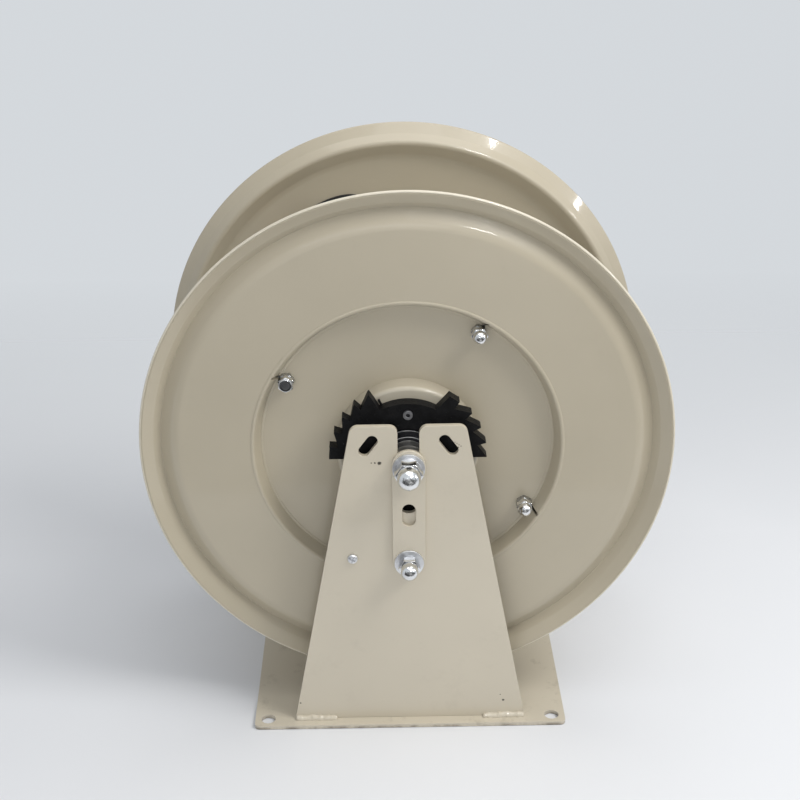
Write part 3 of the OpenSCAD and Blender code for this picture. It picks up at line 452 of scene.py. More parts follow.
def castBrass(name, tone=(0.60, 0.42, 0.17), dull=(0.72, 0.66, 0.7)):
    finish, tree, shader, spot = newFinish(name, metal=1.0)
    broad = noiseAt(tree, spot, 70, 4.0)
    tarnish = tuple(c * share for c, share in zip(tone, dull))
    setColour(tree, shader, rampOf(tree, broad, (0.35, tarnish), (0.7, tone)))
    setGloss(tree, shader, broad, (0.26, 0.42))
    setBump(tree, shader, noiseAt(tree, spot, 900), 0.12, 0.0003)
    return finish


def blackRubber(name):
    finish, tree, shader, spot = newFinish(name)
    broad = noiseAt(tree, spot, 120, 4.0)
    setColour(tree, shader, rampOf(tree, broad, (0.35, 0.003), (0.7, 0.006)))
    setGloss(tree, shader, broad, (0.5, 0.65))
    setBump(tree, shader, broad, 0.1, 0.0004)
    return finish


plateFront, dishFront, annulusFront = -0.1505, -0.1005, -0.1135  # y of the faces that carry worn spots
bracketWear = [(x, plateFront, z, radius) for x, z, radius in (
    (-0.0255, 0.2760, 0.0017), (-0.0295, 0.2763, 0.0008), (-0.0325, 0.2763, 0.0006), (0.0435, 0.2905, 0.0007),
    (-0.1085, 0.0360, 0.0009), (0.0884, 0.0217, 0.0012), (0.0855, 0.0280, 0.0006), (-0.1038, 0.0217, 0.0008),
    (0.0405, 0.2955, 0.0005), (0.0423, 0.2942, 0.0005), (0.0441, 0.2930, 0.0005), (0.0459, 0.2917, 0.0005))]
flangeWear = [(0.0026, dishFront, 0.3905, 0.0011), (0.0804, annulusFront, 0.4254, 0.0013),
              (0.0865, annulusFront, 0.4240, 0.0008)]

# the flanges' cream is set darker than the bracket's although both stand upright: painted shade
flangePaintShaded = glossPaint("creamFlangePaintShaded", (0.445, 0.395, 0.297), spots=flangeWear, grime=0.05)
# the hem's lighter cream is a painted highlight along the rolled edge
hemHighlightPaint = glossPaint("paintedHighlightHemPaint", (0.62, 0.57, 0.46), gloss=(0.3, 0.4))
hubPaint = glossPaint("creamHubPaint", (0.45, 0.405, 0.315), gloss=(0.3, 0.38))
bracketPaint = glossPaint("creamBracketPaint", (0.56, 0.505, 0.40), (0.32, 0.42), 0.05, bracketWear,
                          grime=0.1)
basePaint = glossPaint("creamBasePaint", (0.57, 0.515, 0.41), (0.32, 0.44), 0.05, grime=0.5, darkUpTo=0.0035)
drumPaint = glossPaint("creamDrumPaint", (0.45, 0.40, 0.30))
zinc = brightZinc("brightZincPlate", (0.80, 0.81, 0.83), (0.3, 0.45))
# a darker zinc for the tie nuts and washers down in the dish: painted shade for the dark they mirror there
tieZincShaded = brightZinc("shadedTieZinc", (0.45, 0.46, 0.47), (0.2, 0.35))
dullZinc = brightZinc("dullZincPlate", (0.62, 0.63, 0.65), (0.28, 0.42))
brightNut = brightZinc("brightAcornZinc", (0.86, 0.87, 0.88), (0.12, 0.24))
# bright metal for the broken edges of the black bush and collar: partly polished wear, partly painted
# highlight on the arcs
polishedHighlightEdge = brightZinc("polishedAndHighlightRingEdge", (0.8, 0.8, 0.8), (0.3, 0.42))
shaftSteel = turnedSteel("turnedShaftSteel", (0.34, 0.33, 0.31), (0.38, 0.5))
innerSteel = turnedSteel("oiledInnerSteel")
springSteel = turnedSteel("blueSpringSteel", (0.16, 0.18, 0.22))
screwSteel = turnedSteel("dullScrewSteel", (0.34, 0.34, 0.35), (0.3, 0.45))
ratchetBlack = blackOxide("castRatchetBlack", (0.004, 0.004, 0.0043), (0.4, 0.6), 0.8, shine=0.14,
                          specks=0.12)
# a lighter grey for the ratchet's and pawl's broken edges: partly worn paint, partly painted highlight lines
wornHighlightEdge = blackOxide("wornAndHighlightRatchetEdge", (0.04, 0.04, 0.041), (0.3, 0.45), 0.8, specks=0.5)
screwBlack = blackOxide("blackenedScrewSteel", (0.014, 0.014, 0.016), (0.3, 0.42), 0.08, 0.4, 0.4)
brass = castBrass("machinedBrass")
rubber = blackRubber("blackSealRubber")
print("finishes made")


cameraSet = {"place": (-0.0204, -1.2693, 0.8518), "down": 24.72, "right": 0.69, "roll": -0.52, "lens": 64.64}


def addCamera(settings):
    down, right, roll = (math.radians(settings[key]) for key in ("down", "right", "roll"))
    ahead = Vector((math.sin(right) * math.cos(down), math.cos(right) * math.cos(down), -math.sin(down)))
    side = Vector((math.cos(right), -math.sin(right), 0))
    up = side.cross(ahead)
    tilted = side * math.cos(roll) + up * math.sin(roll)
    raised = up * math.cos(roll) - side * math.sin(roll)
    turn = Matrix((tilted, raised, -ahead)).transposed()
    bpy.ops.object.camera_add(location=settings["place"], rotation=turn.to_euler())
    camera = bpy.context.object
    camera.data.lens = settings["lens"]
    camera.data.sensor_width = 36
    camera.data.clip_end = 50
    bpy.context.scene.camera = camera


def aimed(place, target, axis):
    return (Vector(target) - Vector(place)).to_track_quat(axis, "Y").to_euler()


def addLamp(name, place, target, size, power, tone=(1, 1, 1)):
    bpy.ops.object.light_add(type="AREA", location=place, rotation=aimed(place, target, "-Z"))
    lamp = bpy.context.object
    lamp.name = name
    lamp.data.shape = "RECTANGLE"
    lamp.data.size, lamp.data.size_y = size
    lamp.data.energy = power
    lamp.data.color = tone
    return lamp


def addSpark(name, place, target, size, power):
    # a small lamp that only shows as a glint on gloss and metal
    lamp = addLamp(name, place, target, size, power)
    lamp.visible_diffuse = False
    lamp.visible_transmission = False


def addCard(name, place, target, size, shade=0.03, pale=0.54):
    # a dark mottled card out of the picture, for bright metal to mirror
    bpy.ops.object.select_all(action="DESELECT")
    bpy.ops.mesh.primitive_plane_add(size=1, location=place, rotation=aimed(place, target, "Z"))
    card = bpy.context.object
    card.scale = (*size, 1)
    settle(card, name)
    finish, tree, shader, spot = newFinish(name + "Felt")
    setColour(tree, shader, rampOf(tree, noiseAt(tree, spot, 4), (0.5, shade), (0.62, pale)))
    shader.inputs["Roughness"].default_value = 0.9
    card.data.materials.append(finish)
    card.visible_camera = False
    card.visible_diffuse = False
    card.visible_shadow = False


def addRoom():
    world = bpy.data.worlds.new("paleRoom")
    bpy.context.scene.world = world
    world.use_nodes = True
    tree = world.node_tree
    room = tree.nodes["Background"]
    room.inputs["Color"].default_value = (0.93, 0.96, 1.0, 1)
    room.inputs["Strength"].default_value = 0.42
    seen = addNode(tree, "Background", {"Color": (0.66, 0.69, 0.72, 1), "Strength": 1.0})
    ray = addNode(tree, "LightPath")
    direct = mathOf(tree, "MAXIMUM", ray.outputs["Is Camera Ray"], ray.outputs["Is Glossy Ray"])
    direct = mathOf(tree, "MAXIMUM", direct, ray.outputs["Is Transmission Ray"])
    mixer = addNode(tree, "MixShader", {"Fac": direct, 1: room.outputs["Background"],
                                        2: seen.outputs["Background"]})
    tree.links.new(mixer.outputs["Shader"], tree.nodes["World Output"].inputs["Surface"])


def addFloor():
    bpy.ops.object.select_all(action="DESELECT")
    bpy.ops.mesh.primitive_plane_add(size=6, location=(0, 0, -0.0004))
    floor = settle(bpy.context.object, "paleFloor")
    finish, tree, shader, spot = newFinish("paleFloorPaint")
    cloud = noiseAt(tree, spot, 3, 2.0)
    setColour(tree, shader, rampOf(tree, cloud, (0.3, (0.70, 0.71, 0.73)), (0.7, (0.72, 0.73, 0.75))))
    shader.inputs["Roughness"].default_value = 0.6
    # the floor runs out softly into the pale background
    depth = addNode(tree, "SeparateXYZ", {"Vector": spot}).outputs["Y"]
    clear = addNode(tree, "BsdfTransparent")
    mixer = addNode(tree, "MixShader", {"Fac": spreadOf(tree, depth, 0.2, 1.1), 1: shader.outputs["BSDF"],
                                        2: clear.outputs["BSDF"]})
    tree.links.new(mixer.outputs["Shader"], tree.nodes["Material Output"].inputs["Surface"])
    floor.data.materials.append(finish)


# name, place, target, size and power of each lamp, and its tone
lamps = [("keyLight", (1.0, -0.55, 1.55), (0, -0.05, 0.25), (0.7, 0.7), 18, (1, 0.985, 0.96)),
         ("topLight", (0.1, -0.1, 2.2), (0, 0, 0.2), (1.6, 1.6), 16),
         ("fillLight", (-0.25, -1.9, 0.7), (0, 0, 0.25), (1.2, 1.2), 9, (0.97, 0.98, 1))]
sparks = [("keySpark", (0.80, -0.77, 1.70), (0.02, -0.12, 0.33), (0.3, 0.06), 7),
          ("beadSpark", (0.658, -1.14, 1.541), (0.083, -0.108, 0.465), (0.3, 0.1), 6),
          ("sideSpark", (1.70, -0.39, 1.054), (0.17, 0.11, 0.42), (0.35, 0.06), 6)]
cards = [("frontCard", (0.05, -0.74, 0.39), (0.05, -0.335, 0.68), (1.6, 0.89)),
         ("leftCard", (-1.5, -1.1, 0.5), (0, -0.1, 0.3), (0.35, 1.4)),
         ("rightCard", (1.7, -0.9, 0.5), (0, -0.1, 0.3), (0.3, 1.2))]

addCamera(cameraSet)
addRoom()
addFloor()
for lamp in lamps:
    addLamp(*lamp).visible_glossy = lamp[0] != "keyLight"  # the sparks stand for the key's glints
for spark in sparks:
    addSpark(*spark)
for card in cards:
    addCard(*card)
bpy.context.scene.view_settings.view_transform = "Standard"
print("camera and light set")


flange = {
    "rimRadius": 240.0, "rimY": 118.5, "beadRadius": 222.5, "beadBack": 16.0, "annulusRadius": 208.5,
    "annulusBack": 5.0, "stepRadius": 139.0, "stepInner": 133.0, "dishBack": 18.0, "hubHole": 31.0,
    "sheet": 2.0, "hem": 1.6, "steps": 256, "flareRadius": 229.3, "flareBack": 8.3,
    "footRidge": (-1.9, -1.3, -0.9, -0.3), "topRidge": (0, 0.3, 0.7, 1.3), "ridge": 0.6,
    "rounding": {2: (0.15, 2), 3: (0.15, 2), 6: (0.15, 2), 7: (0.15, 2), 9: (4.6, 12), 10: (2.2, 8),
                 11: (0.5, 3)},
    "slotCircle": 124.5, "slotEnd": 138.3, "slitStart": 2.0, "slitWidth": 2.8, "slitDeep": 33,
    "holeWidth": 9.0, "holeDeep": 35, "slotAngle": 59.4, "cutY": 107.5, "hemY": -115.2, "hemRadius": 238.2,
    "feedAngle": 114.8, "feedRadius": 165.3, "feedHole": 11.6, "feedShift": 0.7, "feedDeep": 20,
    "openAngle": 117.2, "openRadius": 163.8, "openLong": 76.0, "openWide": 28.2, "openFrom": 90,
    "openTo": 125, "lip": 2.4, "lipRound": 0.9,
}


def holeCutter(radius, degrees, size, y, deep):
    return rodAlongY("drill", size, deep, place=polar(radius, degrees, y))


def slotCutter(radius, degrees, long, short, y, deep):
    # a plain block, long outwards from the spindle
    return blockAt("saw", (long, deep, short), polar(radius, degrees, y), (0, -math.radians(degrees), 0))


def ovalCutter(radius, degrees, long, wide, y0, y1, name="cutter"):
    # an oval block, wide outwards from the spindle and long along the circle
    block = rodAlongY(name, 500, 1000, 96)  # 1 m across and 1 m long, then scaled
    block.scale = (wide * mm, (y1 - y0) * mm, long * mm)
    block.rotation_euler = (0, -math.radians(degrees), 0)
    block.location = polar(radius, degrees, (y0 + y1) / 2)
    return settle(block, name)


def makeFlange(s, out, name):
    # out is -1 for the front one; the sheet is spun from its outer face's outline
    rim = s["rimY"]
    dish, annulus = rim - s["dishBack"], rim - s["annulusBack"]
    heights = (0, s["ridge"], s["ridge"], 0)
    outline = [(s["hubHole"], out * dish)]
    for radius, base, shifts in ((s["stepInner"], dish, s["footRidge"]),
                                 (s["stepRadius"], annulus, s["topRidge"])):
        outline += [(radius + shift, out * (base + high)) for shift, high in zip(shifts, heights)]
    outline += [(s["annulusRadius"], out * annulus), (s["beadRadius"], out * (rim - s["beadBack"])),
                (s["flareRadius"], out * (rim - s["flareBack"])),
                (s["rimRadius"] - s["hem"], out * (rim - s["hem"]))]
    sheet = lathe(name, outline, s["steps"], rounding=s["rounding"])
    # the hem: a rolled edge round the rim
    bpy.ops.object.select_all(action="DESELECT")
    bpy.ops.mesh.primitive_torus_add(
        major_radius=(s["rimRadius"] - s["hem"]) * mm, minor_radius=s["hem"] * mm, major_segments=s["steps"],
        minor_segments=20, location=(0, out * (rim - s["hem"]) * mm, axisZ), rotation=(math.pi / 2, 0, 0))
    hem = settle(bpy.context.object, "hem")
    modify(sheet, "SOLIDIFY", thickness=s["sheet"] * mm, offset=out)
    cleanShell(sheet, 0.000001)
    # tie rod holes with their slits, and the opening for the hose in the rear one
    slitFrom, slitTo, y = s["slotCircle"] + s["slitStart"], s["slotEnd"], out * s["cutY"]
    for turn in range(4):
        degrees = s["slotAngle"] + turn * 90
        carve(sheet, holeCutter(s["slotCircle"], degrees, s["holeWidth"] / 2, y, s["holeDeep"]))
        carve(sheet, slotCutter((slitTo + slitFrom) / 2, degrees, slitTo - slitFrom, s["slitWidth"], y,
                                s["slitDeep"]), "FAST")
    if out > 0:
        carve(sheet, ovalCutter(s["openRadius"], s["openAngle"], s["openLong"], s["openWide"], s["openFrom"],
                                s["openTo"]))
    whole = joined([sheet, hem], name)
    smoothBy(whole, 32)
    return whole


def onHem(face):
    spot = face.calc_center_median()
    return (spot.y < flange["hemY"] * mm
            and math.hypot(spot.x, spot.z - axisZ) > flange["hemRadius"] * mm)


def makeGrommet(s):
    # a black plug that fills the rear flange's opening so that it shows dark, with the riser's hole through
    # it
    back = s["rimY"] - s["annulusBack"]
    long, wide = s["openLong"] + 2 * s["lip"], s["openWide"] + 2 * s["lip"]
    plug = ovalCutter(s["openRadius"], s["openAngle"], long, wide, back - s["sheet"] - 2, back + 2, "grommet")
    carve(plug, holeCutter(s["feedRadius"] - s["feedShift"], s["feedAngle"], s["feedHole"], back - 1,
                           s["feedDeep"]))
    breakEdges(plug, s["lipRound"], 3, 50)
    return plug


frontFlange = makeFlange(flange, -1, "frontFlange")
rearFlange = makeFlange(flange, 1, "rearFlange")
# both flanges take the darker cream, which paints in their shade
frontFlange.data.materials.append(flangePaintShaded)
# only the front flange's hem takes the lighter cream, as a painted highlight line
paintFaces(frontFlange, hemHighlightPaint, onHem)
dress(frontFlange, None, "drum", "front_flange", slot="paint")
dress(rearFlange, flangePaintShaded, "drum", "rear_flange", slot="paint")
dress(makeGrommet(flange), rubber, "drum", "feed_grommet", slot="rubber")
print("flanges spun")


hub = {"radius": 63.5, "dishY": 100.5, "faceY": 122.5, "noseRadius": 24.0, "noseY": 130.5, "noseEdge": 0.5,
       "bushRadius": 21.05, "edge": 4.0, "rearFaceY": 108.5, "rearEdge": 2.0, "innerY": 74.0, "spigot": 30.8,
       "lapInner": 28.8, "lapY": 99.5, "steps": 192}


def makeFrontHub(s):
    outline = [(s["lapInner"], -s["lapY"]), (s["lapInner"], -s["dishY"]), (s["radius"], -s["dishY"]),
               (s["radius"], -s["faceY"]), (s["noseRadius"], -s["faceY"]), (s["noseRadius"], -s["noseY"]),
               (s["bushRadius"], -s["noseY"]), (s["bushRadius"], -s["lapY"])]
    rounding = {3: (s["edge"], 12), 5: (s["noseEdge"], 3)}
    return lathe("frontHub", outline, s["steps"], rounding=rounding, closed=True)


def makeRearHub(s):
    outline = [(s["bushRadius"], s["innerY"]), (s["spigot"], s["innerY"]), (s["spigot"], s["dishY"]),
               (s["radius"], s["dishY"]), (s["radius"], s["rearFaceY"]), (s["bushRadius"], s["rearFaceY"])]
    return lathe("rearHub", outline, s["steps"], rounding={4: (s["rearEdge"], 8)}, closed=True)


for piece, node in ((makeFrontHub(hub), "front_hub"), (makeRearHub(hub), "rear_hub")):
    smoothBy(piece, 35)
    dress(piece, hubPaint, "drum", node, slot="hub_paint")
print("hubs turned")


# node, piece, finish and width of the broken edges
plates = [("front_bracket", "frontBracket", bracketPaint, 0.7),
          ("rear_bracket", "rearBracket", bracketPaint, 0.7),
          ("base_plate", "basePlate", basePaint, 0.6),
          ("clamp_strap", "clampStrap", bracketPaint, 0.7)]
for node, name, finish, width in plates:
    dress(softCopy(node, name, width), finish, "frame", node, slot="paint")
print("plates edged")


# swell to end are shares of the radius; lumps are the noise that makes a bead uneven
weld = {"long": 40.0, "radius": 4.3, "ripple": 3.4, "swell": 0.90, "unevenness": 0.05, "valley": 0.93,
        "start": 0.72, "end": 0.6, "lumpSize": 0.006, "lumpHeight": 2.8, "x": 89.0,
        "ys": (-150.5, -145.5, 145.5, 150.5), "z": 4.0, "cutZ": 2.5, "turnEach": 0.5}


def makeBead(s):
    # a rippled bead modelled along Y, a little uneven, then laid along X
    half = s["long"] / 2
    count = int(s["long"] / s["ripple"])
    outline = [(0.0, -half)]
    for ripple in range(count):
        start = -half + ripple * s["long"] / count
        swell = s["radius"] * (s["swell"] + s["unevenness"] * math.sin(ripple * 2.4))
        outline += [(swell * (s["valley"] if ripple else s["start"]), start + 0.25),
                    (swell, start + s["ripple"] * 0.45), (swell * 0.99, start + s["ripple"] * 0.75)]
    outline += [(s["radius"] * s["end"], half - 0.2), (0.0, half)]
    bead = lathe("bead", outline, 32, centre=(0, 0, 0))
    texture = bpy.data.textures.new("weldRipple", "CLOUDS")
    texture.noise_scale = s["lumpSize"]
    modify(bead, "DISPLACE", texture=texture, strength=s["lumpHeight"] * mm, mid_level=0.5)
    smoothBy(bead, 60)
    return bead


def layWelds(s):
    # every second bead runs the other way, and each is turned a little more about its length
    bead = makeBead(s)
    beads = []
    for number, (y, x) in enumerate((y, x) for y in s["ys"] for x in (-s["x"], s["x"])):
        turn = (0, s["turnEach"] * number, math.pi / 2 * (1 if number % 2 else -1))
        beads.append(copyTo(bead, "weld%d" % number, Vector((x, y, s["z"])) * mm, turn))
    drop(bead)
    welds = joined(beads, "weldBeads")
    editNone(welds)
    bpy.ops.mesh.select_all(action="SELECT")
    bpy.ops.mesh.bisect(plane_co=(0, 0, s["cutZ"] * mm), plane_no=(0, 0, 1), clear_inner=True,
                        use_fill=True)
    objectMode()
    return welds


dress(layWelds(weld), bracketPaint, "frame", "bracket_welds", slot="paint")
print("welds laid")


toothEdge = 0.45  # width of the broken edges on the ratchet and the pawl, which are worn and painted lighter as highlight lines
for node, name, body in (("ratchet_plate", "ratchetPlate", "drum"), ("pawl", "pawlArm", "pawl")):
    piece = softCopy(node, name, toothEdge, 2, ratchetBlack, wornHighlightEdge)
    dress(piece, None, body, node, slot="black_steel")
print("ratchet cut")


# washer is inner radius, outer radius, thickness and edge; spring likewise
frontStack = {
    "seat": -154.5, "gap": 1.2, "gapSlant": 0.35, "gapTurn": 35,
    "stud": {"drop": 0, "washer": (7.3, 14.4, 2.5, 0.4), "spring": (7.2, 11.5, 3.0, 0.35),
             "nut": {"acrossFlats": 22, "hexLong": 11, "long": 25.0, "dome": 10.4}},
    "strap": {"drop": -95.7, "washer": (5.3, 13.3, 2.0, 0.4), "spring": (5.2, 8.2, 2.2, 0.35),
              "nut": {"acrossFlats": 17, "hexLong": 8, "long": 20.0, "dome": 7.9}},
}


def makeStack(s, name, nodes):
    # washer, split spring washer and acorn nut, one on the other out from the strap
    own = s[name]
    thick, coil, outer = own["washer"][2], own["spring"][2], own["spring"][1]
    place = Vector((0, s["seat"] * mm, axisZ + own["drop"] * mm))
    washer = washerRing("stackWasher", *own["washer"])
    spring = washerRing("stackSpring", *own["spring"])
    gap = blockAt("gap", (outer, coil * 2, s["gap"]), (outer * 0.7 * mm, -coil / 2 * mm, outer * -0.5 * mm),
                  (s["gapSlant"], math.radians(s["gapTurn"]), 0))
    carve(spring, gap)
    smoothBy(spring, 50)
    nut = acornNut("stackNut", **own["nut"])
    parts = ((washer, "Washer", zinc, 0, (0, 0, 0)), (spring, "SpringWasher", zinc, thick, (0, 0, 0)),
             (nut, "AcornNut", brightNut, thick + coil, faceOut(0)))
    for (part, tail, finish, depth, turn), node in zip(parts, nodes):
        piece = copyTo(part, name + tail, place - Vector((0, depth * mm, 0)), turn)
        dress(piece, finish, "frame", node, slot="zinc")
    drop(washer, spring, nut)


makeStack(frontStack, "stud", ("shaft_washer", "shaft_spring_washer", "shaft_dome_nut"))
makeStack(frontStack, "strap", ("strap_washer", "strap_spring_washer", "strap_dome_nut"))
print("front nuts made")


# turnEach and plainTurn say how far the nuts ended up turned, in degrees
tie = {"circle": 124.5, "angle": 59.4, "lock": 1, "dishY": 100.5, "washer": (4.0, 8.0, 1.6, 0.3),
       "acrossFlats": 13, "hex": 6.5, "long": 15.0, "dome": 6.2, "rod": 4.0, "turnEach": 17, "plainTurn": 11,
       "lockLong": 8.0, "collar": 6.1, "collarInner": 4.5, "ring": (3.9, 4.7), "ringSunk": 0.7}


def tieSpot(s, number, depth, out=-1):
    return polar(s["circle"], s["angle"] + 90 * number, out * (s["dishY"] + depth))


def makeTieNuts(s):
    washer = washerRing("tieWasher", *s["washer"])
    plain = hexBlock("plainNut", s["acrossFlats"], s["hex"], s["rod"])
    acorn = acornNut("tieAcorn", s["acrossFlats"], s["hex"], s["long"], s["dome"])
    thick = s["washer"][2]
    washers, plains, acorns = [], [], []
    for number in range(4):
        angle = s["angle"] + 90 * number - s["turnEach"] * number
        for rear, out, tag in ((False, -1, "front"), (True, 1, "rear")):
            tag = "%d%s" % (number, tag)
            washers.append(copyTo(washer, "washer" + tag, tieSpot(s, number, 0, out), faceOut(0, rear)))
            plains.append(copyTo(plain, "plain" + tag, tieSpot(s, number, thick, out),
                                 faceOut(angle - s["plainTurn"], rear)))
            if rear or number != s["lock"]:
                place = tieSpot(s, number, thick + s["hex"], out)
                acorns.append(copyTo(acorn, "acorn" + tag, place, faceOut(angle, rear)))
    drop(washer, plain, acorn)
    # the tie washers and plain nuts take the darker zinc, as painted shade
    dress(joined(washers, "tieWashers"), tieZincShaded, "drum", "tie_washers", slot="zinc")
    dress(joined(plains, "tiePlainNuts"), tieZincShaded, "drum", "tie_nuts", slot="zinc")
    dress(joined(acorns, "tieAcornNuts"), brightNut, "drum", "tie_dome_nuts", slot="zinc")


def makeLockNut(s):
    # hexagon with a crimped collar round a black ring
    block = hexBlock("lockHex", s["acrossFlats"], s["hex"], s["rod"])
    low, high, inner = -s["hex"] / 2, -s["lockLong"], s["collarInner"]
    collar = lathe("lockCollar", [(inner, low), (s["collar"], low), (s["collar"], high), (inner, high)], 48,
                   centre=(0, 0, 0), rounding={2: (0.8, 4), 3: (0.3, 2)}, closed=True)
    smoothBy(collar, 50)
    (inner, outer), low, high = s["ring"], -s["hex"], s["ringSunk"] - s["lockLong"]
    ring = lathe("lockRing", [(inner, low), (outer, low), (outer, high), (inner, high)], 48,
                 centre=(0, 0, 0), closed=True)
    turn = faceOut(s["angle"] + 90 * s["lock"])
    place = tieSpot(s, s["lock"], s["washer"][2] + s["hex"])
    shell = joined([block, collar], "lockShell")
    dress(copyTo(shell, "tieLockNut", place, turn), brightNut, "drum", "tie_lock_nut", slot="zinc")
    dress(copyTo(ring, "tieLockRing", place, turn), rubber, "drum", slot="rubber")
    drop(shell, ring)


makeTieNuts(tie)
makeLockNut(tie)
print("tie nuts made")


# piece, finish, body, node, slot, rounding and outline of what is turned round the spindle
turnedParts = [
    ("frontBush", screwBlack, "drum", "front_bush", "black_steel", {},
     [(18.05, -132.0), (26.0, -132.0), (26.0, -130.5), (21.05, -130.5), (21.05, -93.5), (18.05, -93.5)]),
    ("rearBush", brass, "drum", "rear_bush", "brass", {1: (0.4, 2)},
     [(18.05, 110.0), (26.0, 110.0), (26.0, 108.5), (21.05, 108.5), (21.05, 74.0), (18.05, 74.0)]),
    ("frontCollar", screwBlack, "frame", "front_collar", "black_steel", {},
     [(18.0, -136.8), (22.0, -136.8), (22.0, -132.3), (18.0, -132.3)]),
    ("rearWasher", dullZinc, "frame", "rear_washer", "zinc", {1: (0.3, 2), 2: (0.4, 3)},
     [(16.6, 150.5), (25.0, 150.5), (25.0, 153.5), (16.6, 153.5)]),
    ("drumTube", drumPaint, "drum", "drum_tube", "paint", {},
     [(141.3, -111.5), (143.3, -111.5), (143.3, 111.5), (141.3, 111.5)]),
    ("thrustWasher", innerSteel, "frame", "swivel_thrust_washer", "shaft_steel", {1: (0.2, 2), 2: (0.2, 2)},
     [(18.05, 141.2), (24.0, 141.2), (24.0, 142.2), (18.05, 142.2)]),
]
for name, finish, body, node, slot, rounding, outline in turnedParts:
    piece = lathe(name, outline, 192 if name == "drumTube" else 96, rounding=rounding, closed=True)
    if slot == "black_steel":
        # the broken edges take the bright metal, partly wear and partly painted highlight
        breakEdges(piece, 0.55, finish=finish, edgeWearAndHighlight=polishedHighlightEdge)
        dress(piece, None, body, node, slot=slot)
    else:
        smoothBy(piece, 40)
        dress(piece, finish, body, node, slot=slot)
print("turned parts made")


water = {"y": 127.0, "endY": 141.0, "backY": 108.5, "flangeY": 113.5, "seatY": 110.0, "seatRadius": 26.0,
         "bore": 18.05, "barrel": 32.0, "flangeRadius": 46.0, "bossRadius": 13.0, "bossEnd": 46.0,
         "stubRadius": 12.0, "stubEnd": 54.0, "stubBore": 9.0, "pipe": 11.0, "wall": 2.0, "bend": 15.0,
         "elbow": 22.0, "nutFlats": 30.0, "nutLong": 16.0, "stem": 9.6, "stemBore": 7.5, "stemHex": 8.0,
         "stemLong": 30.0, "stemCorner": 13.0, "stemTaper": 4.0}
rearEnd = {"nutFlats": 46, "nutLong": 8, "bore": 16.6, "seatY": 153.5, "root": 16.35, "crest": 16.75,
           "threadInner": 16.2, "threadY": 162.0, "halfPitch": 0.6, "halfTurns": 12}


def intoFeed(piece, name, place, turn):
    # place and turn are in the plane through the spindle and the hose opening
    swing = Matrix.Rotation(-math.radians(flange["feedAngle"]), 4, "Y")
    swing = Matrix.Translation((0, 0, axisZ)) @ swing
    piece.matrix_world = swing @ Matrix.Translation(Vector(place) * mm) @ turn
    return settle(piece, name)


def quarterTurn(axis, way=1):
    return Matrix.Rotation(way * math.pi / 2, 4, axis)


def makeSwivel(s):
    # the barrel round the spindle, and the boss that its outlet is cut in, led out along the radius
    outline = [(s["seatRadius"], s["backY"]), (s["flangeRadius"], s["backY"]),
               (s["flangeRadius"], s["flangeY"]), (s["barrel"], s["flangeY"]), (s["barrel"], s["endY"]),
               (s["bore"], s["endY"]), (s["bore"], s["seatY"]), (s["seatRadius"], s["seatY"])]
    barrel = lathe("barrel", outline, 96, rounding={1: (0.4, 2), 2: (1.0, 4), 3: (2.2, 5), 4: (1.2, 4)},
                   closed=True)
    outline = [(0, 24), (s["bossRadius"] + 1.2, 28), (s["bossRadius"], 36), (s["bossRadius"], s["bossEnd"]),
               (s["stubRadius"], s["bossEnd"]), (s["stubRadius"], s["stubEnd"]),
               (s["stubBore"], s["stubEnd"]), (s["stubBore"], 30), (0, 30)]
    boss = lathe("boss", outline, 64, centre=(0, 0, 0), rounding={2: (3, 5), 3: (0.8, 3)})
    boss = intoFeed(boss, "boss", (0, s["y"], 0), quarterTurn("Z", -1))
    whole = joined([barrel, boss], "swivelBody")
    smoothBy(whole, 40)
    return whole


def makeRiser(s):
    # a ring of points led out along the radius, round the bend and round the elbow
    bpy.ops.object.select_all(action="DESELECT")
    bpy.ops.mesh.primitive_circle_add(
        vertices=48, radius=s["pipe"] * mm, fill_type="NOTHING",
        location=(s["stubEnd"] * mm, s["y"] * mm, 0), rotation=(0, math.pi / 2, 0))
    pipe = settle(bpy.context.object, "riserPipe")
    editNone(pipe, "VERT")
    bpy.ops.mesh.select_all(action="SELECT")
    out = flange["feedRadius"]
    turnX, turnY = out - s["bend"], s["y"] - s["bend"]
    run = turnX - s["stubEnd"]
    bpy.ops.mesh.extrude_region_move(TRANSFORM_OT_translate={"value": (run * mm, 0, 0)})
    # spin turns against the right-hand rule, so both quarter turns are negative
    bpy.ops.mesh.spin(steps=14, angle=-math.pi / 2, center=(turnX * mm, turnY * mm, 0), axis=(0, 0, -1))
    bpy.ops.mesh.spin(steps=16, angle=-math.pi / 2, center=(out * mm, turnY * mm, s["elbow"] * mm),
                      axis=(-1, 0, 0))
    objectMode()
    cleanShell(pipe, 0.000001)
    modify(pipe, "SOLIDIFY", thickness=s["wall"] * mm, offset=-1.0)
    smoothBy(pipe, 40)
    return intoFeed(pipe, "riserPipe", (0, 0, 0), Matrix.Identity(4))


def makeStem(s):
    block = hexBlock("stemHex", 2 * s["stemCorner"] * math.cos(math.pi / 6), s["stemHex"], s["stemBore"])
    end = -s["stemHex"] - s["stemLong"]
    outline = [(s["stemBore"], -1), (s["stem"] * 0.97, -1), (s["stem"], -s["stemHex"]), (s["stem"], end),
               ((s["stem"] + s["stemBore"]) / 2, end - s["stemTaper"]), (s["stemBore"], end - s["stemTaper"])]
    tube = lathe("stemTube", outline, 64, centre=(0, 0, 0), rounding={3: (0.8, 3), 4: (0.5, 2)},
                 closed=True)
    smoothBy(tube, 40)
    whole = joined([block, tube], "hoseStem")
    place = (flange["feedRadius"], s["y"] - s["bend"] - s["elbow"], s["elbow"])
    return intoFeed(whole, "hoseStem", place, quarterTurn("X", -1))


